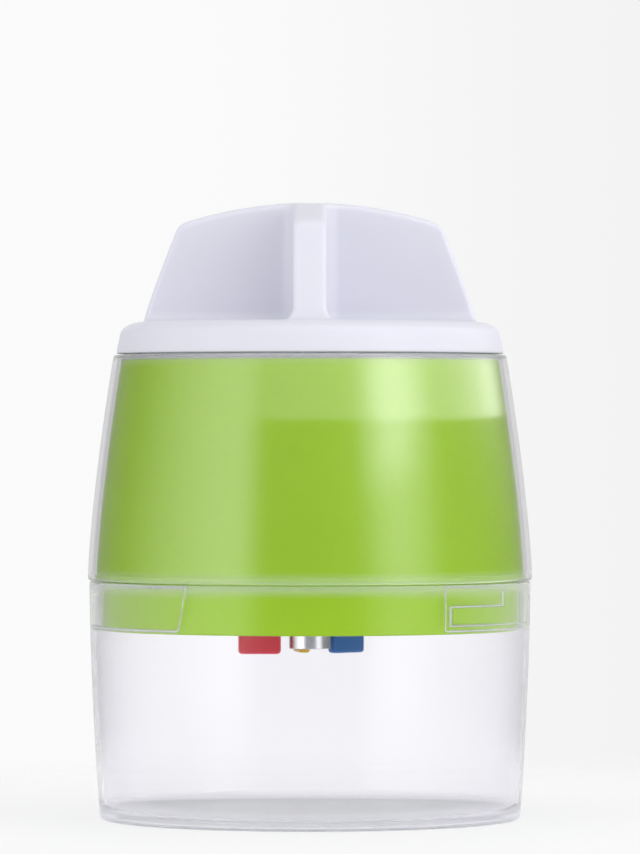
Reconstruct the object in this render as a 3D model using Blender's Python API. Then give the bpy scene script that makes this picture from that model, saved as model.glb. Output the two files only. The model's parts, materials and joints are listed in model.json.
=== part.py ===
"""Hand spiralizer: a clear container, a twist-lock cutter body with a blade plate and three
push-up combs, and a pronged food holder with a cross-shaped grip.

Metres, +Z up. The origin is the centre of the container's underside, and -Y is the front.
"""

import math

import bmesh
import bpy
from mathutils import Matrix, Vector

MM = 0.001

# Fits
SEAT_GAP = 0.3 * MM
RUNNING_GAP = 0.35 * MM
SCREW_PLAY = 0.3 * MM
BLEND = 0.5 * MM

# Clear container
CONTAINER_HEIGHT = 57.0 * MM
CONTAINER_RIM_RADIUS = 52.9 * MM
CONTAINER_FLARE = 2.5 * MM
CONTAINER_CURVE = 1.6
CONTAINER_WALL = 1.4 * MM
CONTAINER_FLOOR = 2.0 * MM
CONTAINER_FOOT_ROUND = 1.4 * MM
CONTAINER_INNER_ROUND = 2.6 * MM
CONTAINER_RIM_ROUND = 0.5 * MM

# Twist lock between the container and the collar
LOCK_RIB = 1.2 * MM
LOCK_START = 38.4
LOCK_STOP_WALL = 1.6
LUG_ANGLE = 17.0
LUG_PLAY = 0.7
UNLOCK_TURN = 22.0
LUG_HEIGHT = 3.9 * MM
LUG_RISE = 2.3 * MM
LOCK_FLOOR = 1.2 * MM
PAD_START = -95.0
PAD_END = -37.0
PAD_SLANT = 2.5
LOCK_COPIES = 2

# Cutter body: the green cup and its clear outer shell
BODY_HEIGHT = 53.9 * MM
SHELL_OVERHANG = 0.4 * MM
BODY_TAPER = 6.2 * MM
BODY_CURVE = 1.4
SHELL_WALL = 1.4 * MM
SHELL_LIP = 0.9 * MM
SHELL_FOOT_ROUND = 1.5 * MM
SHELL_FOOT_START = -85.0
SHELL_RIM_ROUND = 0.6 * MM
AIR_GAP = 0.7 * MM
CUP_WALL = 1.0 * MM
CUP_FLANGE = 1.5 * MM
COLLAR_DEPTH = 11.9 * MM
COLLAR_WALL = 1.5 * MM
LEDGE_WIDTH = 3.6 * MM
LEDGE_THICKNESS = 2.0 * MM
LEDGE_DROP = 1.1 * MM

# Blade plate and its screws
PLATE_THICKNESS = 2.3 * MM
PLATE_SCREWS = 4
SCREWS_START = 45.0
PLATE_BOSS_RADIUS = 2.4 * MM
PLATE_BOSS_HEIGHT = 5.0 * MM
SCREW_RADIUS = 1.0 * MM
SCREW_HEAD_RADIUS = 2.1 * MM
SCREW_HEAD = 1.3 * MM
SCREW_GRIP = 4.4 * MM
HOLE_END = 0.5 * MM

# Flat blade
BLADE_LENGTH = 25.0 * MM
BLADE_WIDTH = 13.5 * MM
BLADE_THICKNESS = 0.6 * MM
BLADE_BEVEL = 2.0 * MM
BLADE_EDGE = 0.12 * MM
BLADE_TILT = 6.0
THROAT_BEHIND = 3.6 * MM
THROAT_AHEAD = 1.8 * MM
BLADE_OVERREACH = 0.6 * MM
RIVET_RADIUS = 0.9 * MM
RIVET_HEAD_RADIUS = 1.7 * MM
RIVET_HEAD = 0.5 * MM
RIVET_SETBACK = 4.2 * MM
RIVET_SPACING = 14.0 * MM

# Coring tube
CORE_RADIUS = 5.0 * MM
CORE_WALL = 0.6 * MM
CORE_ABOVE = 7.0 * MM
CORE_BELOW = 12.8 * MM
CORE_EDGE = 1.6 * MM
CORE_FLANGE = 0.6 * MM
CORE_FLANGE_WIDTH = 1.4 * MM

# Push-up combs and the guide that carries them
COMB_LENGTH = 20.0 * MM
COMB_STEEL = 0.6 * MM
COMB_ROOT = 1.6 * MM
COMB_TRAVEL = 3.3 * MM
COMB_SUNK = 0.3 * MM
TOOTH_WIDTH = 0.9 * MM
TOOTH_TIP = 0.3 * MM
SLIDE_END_WALL = 1.2 * MM
SLIDE_THICKNESS = 3.8 * MM
SLIDE_HEAD = 2.6 * MM
TAB_WIDTH = 10.2 * MM
TAB_THICKNESS = 2.4 * MM
TAB_SETBACK = 0.2 * MM
TAB_BELOW_GUIDE = 6.2 * MM
TAB_ROUND = 0.9 * MM
TAB_GROOVES = 3
TAB_GROOVE_STEP = 1.3 * MM
TAB_GROOVE_DEPTH = 0.3 * MM
GUIDE_FLOOR = 1.4 * MM
GUIDE_WALL = 1.2 * MM
GUIDE_EAR = 3.0 * MM
YELLOW_PITCH = 2.2 * MM
RED_PITCH = 3.3 * MM
BLUE_PITCH = 5.0 * MM
YELLOW_ANGLE = 100.0
RED_ANGLE = 180.0
BLUE_ANGLE = 44.0

# Food holder
FLANGE_SETBACK = 0.6 * MM
FLANGE_HEIGHT = 5.8 * MM
FLANGE_DRAFT = 1.2 * MM
FLANGE_CROWN = 1.8 * MM
FLANGE_CROWN_WIDTH = 3.6 * MM
FLANGE_ROUND = 1.0 * MM
FLANGE_ROUND_START = 25.0
FLANGE_ROUND_END = 75.0
HOLDER_SKIN = 2.0 * MM
SKIRT_DEPTH = 9.0 * MM
SKIRT_WALL = 1.5 * MM
SKIRT_DRAFT = 0.4 * MM
FINS = 4
FIN_SETBACK = 1.9 * MM
FIN_THICKNESS = 7.9 * MM
FIN_TAPER = 8.4 * MM
FIN_SIDE_BULGE = 0.65 * MM
FIN_APEX = 28.6 * MM
FIN_TOP_ARC = 97.0 * MM
FIN_FOOT_ROUND = 2.8 * MM
FIN_EDGE_ROUND = 1.5 * MM
FIN_END_ROUND = 1.2 * MM
FIN_HOLLOW_ROUND = 0.3 * MM
FIN_INNER_ROUND = 3.4 * MM
FIN_WALL = 1.8 * MM
HOLDER_CORE_RADIUS = 5.5 * MM

# Prong plate, prongs and spike
PRONG_PLATE_THICKNESS = 2.4 * MM
PRONG_PLATE_DROP = 0.9 * MM
HOLDER_SCREWS = 4
HOLDER_SCREW_CIRCLE = 30.0 * MM
HOLDER_BOSS_RADIUS = 2.7 * MM
INNER_PRONG_CIRCLE = 10.0 * MM
OUTER_PRONG_CIRCLE = 18.0 * MM
PRONGS_IN_CIRCLE = 4
PRONG_RADIUS = 0.9 * MM
PRONG_LENGTH = 15.0 * MM
PRONG_POINT = 4.0 * MM
PRONG_HEAD_RADIUS = 1.7 * MM
PRONG_HEAD = 0.8 * MM
SPIKE_RADIUS = 2.0 * MM
SPIKE_LENGTH = 18.5 * MM
SPIKE_POINT = 9.0 * MM
SPIKE_FLANGE_RADIUS = 4.5 * MM
SPIKE_FLANGE = 1.2 * MM
SPIKE_IN_CORE = 13.0 * MM

# Facets
SIDES = 52
SMALL_SIDES = 8
TUBE_SIDES = 20
ARC_STEPS = 3
END_STEPS = 2
WALL_STEPS = 4
FIN_STEPS = 4
SMOOTH_ANGLE = math.radians(35.0)

# Turns that lay a flat outline in another plane, with its height along the third direction
FACING_X = Matrix(((0, 0, 1, 0), (1, 0, 0, 0), (0, 1, 0, 0), (0, 0, 0, 1)))
FACING_FRONT = Matrix(((1, 0, 0, 0), (0, 0, -1, 0), (0, 1, 0, 0), (0, 0, 0, 1)))


def clear_scene():
    """Remove every object that the file starts with."""
    for item in list(bpy.data.objects):
        bpy.data.objects.remove(item, do_unlink=True)


# Heights and radii that follow from the driving dimensions

BODY_BOTTOM = CONTAINER_HEIGHT + SEAT_GAP
BODY_TOP = BODY_BOTTOM + BODY_HEIGHT
BODY_BOTTOM_RADIUS = CONTAINER_RIM_RADIUS + SHELL_OVERHANG
CUP_TOP = BODY_TOP - SHELL_LIP - SEAT_GAP
COLLAR_BOTTOM = BODY_BOTTOM - COLLAR_DEPTH


def container_outer(height):
    """Outer radius of the container at a height above its foot."""
    drop = 1.0 - height / CONTAINER_HEIGHT
    return CONTAINER_RIM_RADIUS - CONTAINER_FLARE * drop ** CONTAINER_CURVE


def container_inner(height):
    """Inner radius of the container at a height above its foot."""
    return container_outer(height) - CONTAINER_WALL


def shell_outer(height):
    """Outer radius of the clear shell, which draws in towards the mouth."""
    share = (height - BODY_BOTTOM) / BODY_HEIGHT
    return BODY_BOTTOM_RADIUS - BODY_TAPER * share ** BODY_CURVE


def shell_inner(height):
    """Inner radius of the clear shell."""
    return shell_outer(height) - SHELL_WALL


def cup_outer(height):
    """Outer radius of the green cup, inside the shell's air gap."""
    return shell_inner(height) - AIR_GAP


def cup_inner(height):
    """Radius of the feed chamber."""
    return cup_outer(height) - CUP_WALL


LOCK_INNER = container_inner(COLLAR_BOTTOM) - LOCK_RIB
COLLAR_RADIUS = LOCK_INNER - SEAT_GAP
COLLAR_INNER = COLLAR_RADIUS - COLLAR_WALL
LUG_RADIUS = container_inner(COLLAR_BOTTOM) - SEAT_GAP
LUG_BOTTOM = COLLAR_BOTTOM + LUG_RISE

LEDGE_BOTTOM = BODY_BOTTOM - LEDGE_DROP
LEDGE_TOP = LEDGE_BOTTOM + LEDGE_THICKNESS
LEDGE_INNER = COLLAR_INNER - LEDGE_WIDTH

PLATE_TOP = LEDGE_BOTTOM - SEAT_GAP
PLATE_BOTTOM = PLATE_TOP - PLATE_THICKNESS
PLATE_RADIUS = COLLAR_INNER - SEAT_GAP
PLATE_SCREW_CIRCLE = COLLAR_INNER - SCREW_HEAD_RADIUS - 2 * SEAT_GAP

CORE_FLANGE_RADIUS = CORE_RADIUS + CORE_FLANGE_WIDTH
CORE_FLANGE_BOTTOM = PLATE_TOP + SEAT_GAP
BLADE_START = CORE_FLANGE_RADIUS + SEAT_GAP
BLADE_BACK = BLADE_OVERREACH - BLADE_WIDTH * math.cos(math.radians(BLADE_TILT))

GUIDE_TOP = PLATE_BOTTOM - SEAT_GAP
GUIDE_CAVITY = SLIDE_HEAD + COMB_TRAVEL + 2 * SEAT_GAP
GUIDE_FLOOR_TOP = PLATE_BOTTOM - GUIDE_CAVITY
GUIDE_BOTTOM = GUIDE_FLOOR_TOP - GUIDE_FLOOR
GUIDE_BORE = CORE_RADIUS + SEAT_GAP
SLIDE_START = GUIDE_BORE + GUIDE_WALL + SEAT_GAP
SLIDE_END = SLIDE_START + COMB_LENGTH + 2 * SLIDE_END_WALL
COMB_START = SLIDE_START + SLIDE_END_WALL
COMB_END = COMB_START + COMB_LENGTH
GUIDE_END = SLIDE_END + SEAT_GAP + GUIDE_WALL
GUIDE_SCREW_PLACE = GUIDE_END + SCREW_HEAD_RADIUS + SEAT_GAP
GUIDE_HALF_WIDTH = SLIDE_THICKNESS / 2 + SEAT_GAP + GUIDE_WALL
TAB_START = SLIDE_START + TAB_SETBACK
TAB_END = TAB_START + TAB_WIDTH

FLANGE_BOTTOM = BODY_TOP + SEAT_GAP
FLANGE_RADIUS = shell_outer(BODY_TOP) - FLANGE_SETBACK
FLANGE_TOP_RADIUS = FLANGE_RADIUS - FLANGE_DRAFT
CROWN_RADIUS = FLANGE_TOP_RADIUS - FLANGE_CROWN_WIDTH
HOLDER_FLOOR = FLANGE_HEIGHT + FLANGE_CROWN
HOLDER_CEILING = HOLDER_FLOOR - HOLDER_SKIN
SKIRT_RADIUS = cup_inner(CUP_TOP) - RUNNING_GAP
SKIRT_INNER = SKIRT_RADIUS - SKIRT_DRAFT - SKIRT_WALL
FIN_BASE_REACH = CROWN_RADIUS - FIN_SETBACK
FIN_SHOULDER_REACH = FIN_BASE_REACH - FIN_TAPER
FIN_HEIGHT = FIN_APEX - (FIN_TOP_ARC - math.sqrt(FIN_TOP_ARC ** 2 - FIN_SHOULDER_REACH ** 2))
PRONG_PLATE_BOTTOM = -PRONG_PLATE_DROP
PRONG_PLATE_TOP = PRONG_PLATE_BOTTOM + PRONG_PLATE_THICKNESS
BOSS_BOTTOM = PRONG_PLATE_TOP + SEAT_GAP


def finish(name, colour, roughness, metallic=0.0, alpha=1.0):
    """One Principled material."""
    material = bpy.data.materials.new(name)
    material.use_nodes = True
    shader = material.node_tree.nodes["Principled BSDF"]
    shader.inputs["Base Color"].default_value = (*colour, 1.0)
    shader.inputs["Roughness"].default_value = roughness
    shader.inputs["Metallic"].default_value = metallic
    shader.inputs["Alpha"].default_value = alpha
    return material


# Shapes, each added to a mesh under construction

def add_turned(shape, outline, place=Matrix(), sides=SIDES):
    """Turn a closed outline of (radius, height) points once round +Z."""
    rings = []
    for radius, height in outline:
        count = 1 if radius == 0.0 else sides
        angles = [2 * math.pi * step / count for step in range(count)]
        rings.append([
            shape.verts.new(place @ Vector((radius * math.cos(a), radius * math.sin(a), height)))
            for a in angles
        ])
    for ring, following in zip(rings, rings[1:] + rings[:1]):
        add_band(shape, ring, following)


def add_band(shape, ring, following):
    """Join two rings of vertices with faces. A ring of one vertex closes a pole."""
    count = max(len(ring), len(following))
    if count == 1:
        return
    for step in range(count):
        after = (step + 1) % count
        if len(ring) == 1:
            shape.faces.new((ring[0], following[after], following[step]))
        elif len(following) == 1:
            shape.faces.new((ring[step], ring[after], following[0]))
        else:
            shape.faces.new((ring[step], ring[after], following[after], following[step]))


def add_prism(shape, outline, low, high, place=Matrix()):
    """Raise a flat outline of (x, y) points from one height to another."""
    lower = [shape.verts.new(place @ Vector((x, y, low))) for x, y in outline]
    upper = [shape.verts.new(place @ Vector((x, y, high))) for x, y in outline]
    add_band(shape, lower, upper)
    shape.faces.new(lower)
    shape.faces.new(upper)


def add_block(shape, start, end, place=Matrix()):
    """A block between two opposite corners."""
    outline = [(start[0], start[1]), (end[0], start[1]), (end[0], end[1]), (start[0], end[1])]
    add_prism(shape, outline, start[2], end[2], place)


def add_rod(shape, radius, low, high, place=Matrix(), sides=SMALL_SIDES):
    """A plain round rod."""
    add_turned(shape, [(0.0, low), (radius, low), (radius, high), (0.0, high)], place, sides)


def add_wall_rib(shape, inner, outer, start, end, low, high, slant=0.0):
    """A rib on a round wall. Angles are in degrees from the front, towards +X.

    The slant moves the upper corner of the end face on by that many degrees.
    """
    step = 360.0 / SIDES
    count = max(2, math.ceil((end - start) / step) + 1)
    columns = []
    for index in range(count):
        share = index / (count - 1)
        column = []
        for height, angle in ((low, end), (high, end + slant)):
            turn = math.radians(start + (angle - start) * share)
            for radius in (inner, outer):
                point = (radius * math.sin(turn), -radius * math.cos(turn), height)
                column.append(shape.verts.new(point))
        columns.append([column[0], column[1], column[3], column[2]])
    for column, following in zip(columns, columns[1:]):
        add_band(shape, column, following)
    shape.faces.new(columns[0])
    shape.faces.new(columns[-1])


def arc(centre, radius, start, end, steps=ARC_STEPS):
    """Points of an arc in an outline, from one angle to another in degrees."""
    angles = [math.radians(start + (end - start) * step / steps) for step in range(steps + 1)]
    return [(centre[0] + radius * math.cos(a), centre[1] + radius * math.sin(a)) for a in angles]


def levels(low, high, steps):
    """Evenly spaced values from low to high, with both ends."""
    return [low + (high - low) * step / steps for step in range(steps + 1)]


# Objects and the modifiers between them

def make(name, shape, material, parent=None, location=(0.0, 0.0, 0.0)):
    """Turn a finished shape into a named object."""
    bmesh.ops.recalc_face_normals(shape, faces=shape.faces)
    mesh = bpy.data.meshes.new(name)
    shape.to_mesh(mesh)
    shape.free()
    mesh.materials.append(material)
    mesh.shade_smooth()
    mesh.set_sharp_from_angle(angle=SMOOTH_ANGLE)
    item = bpy.data.objects.new(name, mesh)
    item.location = location
    item.parent = parent
    bpy.context.scene.collection.objects.link(item)
    return item


def make_copies(name, shape, places, material, parent):
    """Set equal pieces at several places. They share one mesh and have numbered names."""
    first = make(f"{name}_1", shape, material, parent)
    first.matrix_local = places[0]
    for index, place in enumerate(places[1:], start=2):
        copy = bpy.data.objects.new(f"{name}_{index}", first.data)
        copy.parent = parent
        copy.matrix_local = place
        bpy.context.scene.collection.objects.link(copy)


def make_axis(name, height, parent=None):
    """An empty on the tool's upright axis, which carries the pieces of one body."""
    item = bpy.data.objects.new(name, None)
    item.location = (0.0, 0.0, height)
    item.parent = parent
    item.empty_display_size = CORE_RADIUS
    bpy.context.scene.collection.objects.link(item)
    return item


def use(target, operation, name, shape):
    """Add a shape to an object, or cut it away, with a live Boolean."""
    guide = make(name, shape, GUIDE_FINISH, target.parent, target.location)
    guide.hide_render = True
    guide.display_type = "WIRE"
    change = target.modifiers.new(name, "BOOLEAN")
    change.operation = operation
    change.solver = "EXACT"
    change.object = guide


def fuse(target, name, shape):
    """Make a shape one with an object."""
    use(target, "UNION", name, shape)


def cut(target, name, shape):
    """Cut a shape out of an object."""
    use(target, "DIFFERENCE", name, shape)


def turned_place(angle, radius, height=0.0):
    """A place on a circle round the axis, with its own X pointing outwards."""
    turn = Matrix.Rotation(math.radians(angle), 4, "Z")
    return turn @ Matrix.Translation((radius, 0.0, height))


def circle_places(count, radius, first, height=0.0):
    """Evenly spread places on a circle."""
    return [turned_place(first + 360.0 * index / count, radius, height) for index in range(count)]


# Clear container

def build_container():
    """The open jar that catches the strands, with the fixed half of the twist lock."""
    foot = CONTAINER_FOOT_ROUND
    inner_foot = CONTAINER_FLOOR + CONTAINER_INNER_ROUND
    foot_centre = (container_outer(foot) - foot, foot)
    inner_centre = (container_inner(inner_foot) - CONTAINER_INNER_ROUND, inner_foot)
    rim = CONTAINER_HEIGHT - CONTAINER_RIM_ROUND
    outline = [(0.0, 0.0)]
    outline += arc(foot_centre, foot, -90.0, 0.0)
    outline += [(container_outer(z), z) for z in levels(foot, rim, WALL_STEPS)[1:]]
    outline += [(container_outer(rim) - CONTAINER_RIM_ROUND, CONTAINER_HEIGHT)]
    outline += [(container_inner(rim) + CONTAINER_RIM_ROUND, CONTAINER_HEIGHT)]
    outline += [(container_inner(z), z) for z in levels(rim, inner_foot, WALL_STEPS)[:-1]]
    outline += arc(inner_centre, CONTAINER_INNER_ROUND, 0.0, -90.0)
    outline += [(0.0, CONTAINER_FLOOR)]
    shape = bmesh.new()
    add_turned(shape, outline)
    container = make("container", shape, finish("clear_container", (0.86, 0.86, 0.93), 0.06, 0.0, 0.3))

    buried = container_inner(LUG_BOTTOM) + CONTAINER_WALL / 2
    top = CONTAINER_HEIGHT - CONTAINER_RIM_ROUND
    pocket_low = LUG_BOTTOM - SEAT_GAP
    pocket_high = LUG_BOTTOM + LUG_HEIGHT + SEAT_GAP
    rib_low = pocket_low - LOCK_FLOOR
    pocket_start = LOCK_START + LOCK_STOP_WALL
    entry_start = pocket_start + UNLOCK_TURN
    entry_end = entry_start + LUG_ANGLE + 2 * LUG_PLAY
    lock_end = entry_end + LOCK_STOP_WALL
    channel = container_inner(rib_low)
    ribs = bmesh.new()
    entries = bmesh.new()
    pockets = bmesh.new()
    for copy in range(LOCK_COPIES):
        turn = 360.0 * copy / LOCK_COPIES
        add_wall_rib(ribs, LOCK_INNER, buried, LOCK_START + turn, lock_end + turn, rib_low, top)
        add_wall_rib(ribs, LOCK_INNER, buried, PAD_START + turn, PAD_END + turn, rib_low, top, PAD_SLANT)
        add_wall_rib(entries, LOCK_INNER - BLEND, channel, entry_start + turn, entry_end + turn,
                     pocket_low, CONTAINER_HEIGHT + BLEND)
        add_wall_rib(pockets, LOCK_INNER - BLEND, channel, pocket_start + turn, entry_end + turn,
                     pocket_low, pocket_high)
    fuse(container, "lock_ribs", ribs)
    cut(container, "lock_entries", entries)
    cut(container, "lock_pockets", pockets)
    return container


# Cutter body

def build_shell(body):
    """The clear outer shell, with a lip that lies over the cup's rim."""
    foot = SHELL_FOOT_ROUND
    rim = BODY_TOP - SHELL_RIM_ROUND
    lip_bottom = BODY_TOP - SHELL_LIP
    foot_centre = (shell_outer(BODY_BOTTOM + foot) - foot, BODY_BOTTOM + foot)
    rim_centre = (shell_outer(rim) - SHELL_RIM_ROUND, rim)
    lip_inner = cup_inner(CUP_TOP)
    outline = [(shell_inner(BODY_BOTTOM), BODY_BOTTOM)]
    outline += arc(foot_centre, foot, SHELL_FOOT_START, 0.0)
    outline += [(shell_outer(z), z) for z in levels(BODY_BOTTOM + foot, rim, WALL_STEPS)[1:-1]]
    outline += arc(rim_centre, SHELL_RIM_ROUND, 0.0, 90.0)
    outline += [(lip_inner, BODY_TOP), (lip_inner, lip_bottom)]
    outline += [(shell_inner(z), z) for z in levels(lip_bottom, BODY_BOTTOM, WALL_STEPS)[:-1]]
    shape = bmesh.new()
    add_turned(shape, outline)
    return make("outer_shell", shape, finish("clear_shell", (0.88, 0.9, 0.9), 0.05, 0.0, 0.3), body)


def build_cup(body):
    """The green cup: feed chamber, flange, ledge for the blade plate, and the locking collar."""
    flange_radius = shell_inner(BODY_BOTTOM + CUP_FLANGE) - SEAT_GAP
    flange_top = BODY_BOTTOM + CUP_FLANGE
    outline = [(LEDGE_INNER, LEDGE_BOTTOM), (COLLAR_INNER, LEDGE_BOTTOM)]
    outline += [(COLLAR_INNER, COLLAR_BOTTOM), (COLLAR_RADIUS - BLEND, COLLAR_BOTTOM)]
    outline += [(COLLAR_RADIUS, COLLAR_BOTTOM + BLEND), (COLLAR_RADIUS, BODY_BOTTOM)]
    outline += [(flange_radius, BODY_BOTTOM), (flange_radius, flange_top)]
    outline += [(cup_outer(z), z) for z in levels(flange_top, CUP_TOP, WALL_STEPS)]
    outline += [(cup_inner(z), z) for z in levels(CUP_TOP, LEDGE_TOP, WALL_STEPS)]
    outline += [(LEDGE_INNER, LEDGE_TOP)]
    shape = bmesh.new()
    add_turned(shape, outline)
    green = finish("green_plastic", (0.31, 0.57, 0.05), 0.3)
    cup = make("cutter_cup", shape, green, body)

    bosses = bmesh.new()
    holes = bmesh.new()
    boss_top = LEDGE_TOP + PLATE_BOSS_HEIGHT
    for place in circle_places(PLATE_SCREWS, PLATE_SCREW_CIRCLE, SCREWS_START):
        add_rod(bosses, PLATE_BOSS_RADIUS, LEDGE_BOTTOM + BLEND, boss_top, place)
        add_rod(holes, SCREW_RADIUS + SCREW_PLAY, PLATE_TOP, boss_top - HOLE_END, place)
    fuse(cup, "screw_bosses", bosses)
    cut(cup, "screw_holes", holes)

    lugs = bmesh.new()
    start = LOCK_START + LOCK_STOP_WALL + LUG_PLAY
    for copy in range(LOCK_COPIES):
        turn = start + 360.0 * copy / LOCK_COPIES
        add_wall_rib(lugs, COLLAR_RADIUS - BLEND, LUG_RADIUS, turn, turn + LUG_ANGLE,
                     LUG_BOTTOM, LUG_BOTTOM + LUG_HEIGHT)
    fuse(cup, "lock_lugs", lugs)
    return cup


def screw_outline(head_top, shank_top):
    """Half section of a pan-headed screw that points up. The head lies below head_top."""
    head_bottom = head_top - SCREW_HEAD
    return [
        (0.0, head_bottom),
        (SCREW_HEAD_RADIUS - BLEND, head_bottom),
        (SCREW_HEAD_RADIUS, head_bottom + BLEND),
        (SCREW_HEAD_RADIUS, head_top),
        (SCREW_RADIUS, head_top),
        (SCREW_RADIUS, shank_top - SCREW_RADIUS),
        (0.0, shank_top),
    ]


def build_screws(name, places, head_top, shank_top, material, parent):
    """A set of equal screws."""
    shape = bmesh.new()
    add_turned(shape, screw_outline(head_top, shank_top), sides=SMALL_SIDES)
    make_copies(name, shape, places, material, parent)


# Blade plate

def blade_frame():
    """The tilted frame of the flat blade: X along its length, +Y towards its edge, Z up from it."""
    tilt = Matrix.Rotation(math.radians(BLADE_TILT), 4, "X")
    return Matrix.Translation((BLADE_START, BLADE_BACK, PLATE_TOP)) @ tilt


def rivet_places():
    """The two rivets stand square to the blade."""
    centre = BLADE_LENGTH / 2
    return [
        blade_frame() @ Matrix.Translation((centre + side * RIVET_SPACING / 2, RIVET_SETBACK, 0.0))
        for side in (-1, 1)
    ]


def build_plate(body, material):
    """The floor of the feed chamber, with the throat, the blade's ramp and the comb slots."""
    shape = bmesh.new()
    add_turned(shape, [
        (0.0, PLATE_BOTTOM),
        (PLATE_RADIUS - BLEND, PLATE_BOTTOM),
        (PLATE_RADIUS, PLATE_BOTTOM + BLEND),
        (PLATE_RADIUS, PLATE_TOP),
        (0.0, PLATE_TOP),
    ])
    plate = make("blade_plate", shape, material, body)

    ramp_rise = (-THROAT_BEHIND - BLADE_BACK) * math.tan(math.radians(BLADE_TILT))
    ramp = bmesh.new()
    profile = [
        (BLADE_BACK, PLATE_TOP - BLEND),
        (-THROAT_BEHIND, PLATE_TOP - BLEND),
        (-THROAT_BEHIND, PLATE_TOP + ramp_rise),
        (BLADE_BACK, PLATE_TOP),
    ]
    add_prism(ramp, profile, BLADE_START, BLADE_START + BLADE_LENGTH, FACING_X)
    fuse(plate, "blade_ramp", ramp)

    openings = bmesh.new()
    low = PLATE_BOTTOM - BLEND
    high = PLATE_TOP + CORE_ABOVE
    add_block(openings, (BLADE_START, -THROAT_BEHIND, low),
              (BLADE_START + BLADE_LENGTH, THROAT_AHEAD, high))
    add_rod(openings, CORE_RADIUS + SEAT_GAP, low, high, sides=TUBE_SIDES)
    half_slot = COMB_STEEL / 2 + SEAT_GAP
    for angle in COMB_ANGLES:
        turn = Matrix.Rotation(math.radians(angle), 4, "Z")
        add_block(openings, (COMB_START - SEAT_GAP, -half_slot, low),
                  (COMB_END + SEAT_GAP, half_slot, high), turn)
    for place in circle_places(PLATE_SCREWS, PLATE_SCREW_CIRCLE, SCREWS_START):
        add_rod(openings, SCREW_RADIUS + SCREW_PLAY, low, high, place)
    for place in guide_screw_places():
        add_rod(openings, SCREW_RADIUS + SCREW_PLAY, low, PLATE_TOP - HOLE_END, place)
    for place in rivet_places():
        add_rod(openings, RIVET_RADIUS + SEAT_GAP, -PLATE_THICKNESS + BLEND, CORE_ABOVE, place)
    cut(plate, "plate_openings", openings)
    return plate


def build_blade(body, steel):
    """The fixed flat blade, ground on its upper side, held down by two rivets."""
    shape = bmesh.new()
    low = SEAT_GAP
    high = SEAT_GAP + BLADE_THICKNESS
    profile = [
        (0.0, low),
        (BLADE_WIDTH, low),
        (BLADE_WIDTH, low + BLADE_EDGE),
        (BLADE_WIDTH - BLADE_BEVEL, high),
        (0.0, high),
    ]
    add_prism(shape, profile, 0.0, BLADE_LENGTH, blade_frame() @ FACING_X)
    blade = make("flat_blade", shape, steel, body)
    holes = bmesh.new()
    for place in rivet_places():
        add_rod(holes, RIVET_RADIUS + SEAT_GAP, 0.0, high + BLEND, place)
    cut(blade, "blade_holes", holes)

    rivet = bmesh.new()
    seat = high + SEAT_GAP
    add_turned(rivet, [
        (0.0, -PLATE_THICKNESS + 2 * BLEND),
        (RIVET_RADIUS, -PLATE_THICKNESS + 2 * BLEND),
        (RIVET_RADIUS, seat),
        (RIVET_HEAD_RADIUS, seat),
        (RIVET_HEAD_RADIUS - RIVET_HEAD, seat + RIVET_HEAD),
        (0.0, seat + RIVET_HEAD),
    ], sides=SMALL_SIDES)
    make_copies("blade_rivet", rivet, rivet_places(), steel, body)


def build_coring_tube(body, steel):
    """The thin steel tube that takes out the core. Its flange rests on the blade plate."""
    bore = CORE_RADIUS - CORE_WALL
    top = PLATE_TOP + CORE_ABOVE
    bottom = PLATE_BOTTOM - CORE_BELOW
    flange_top = CORE_FLANGE_BOTTOM + CORE_FLANGE
    shape = bmesh.new()
    add_turned(shape, [
        (bore, bottom),
        (CORE_RADIUS, bottom),
        (CORE_RADIUS, CORE_FLANGE_BOTTOM),
        (CORE_FLANGE_RADIUS, CORE_FLANGE_BOTTOM),
        (CORE_FLANGE_RADIUS, flange_top),
        (CORE_RADIUS, flange_top),
        (CORE_RADIUS, top - CORE_EDGE),
        (bore + BLADE_EDGE, top),
        (bore, top),
    ], sides=TUBE_SIDES)
    make("coring_tube", shape, steel, body)


# Combs

COMB_PITCHES = {"yellow": YELLOW_PITCH, "red": RED_PITCH, "blue": BLUE_PITCH}
COMB_ANGLES = [YELLOW_ANGLE, RED_ANGLE, BLUE_ANGLE]


def guide_screw_places():
    """One screw at the outer end of each guide arm."""
    return [turned_place(angle, GUIDE_SCREW_PLACE) for angle in COMB_ANGLES]


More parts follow.
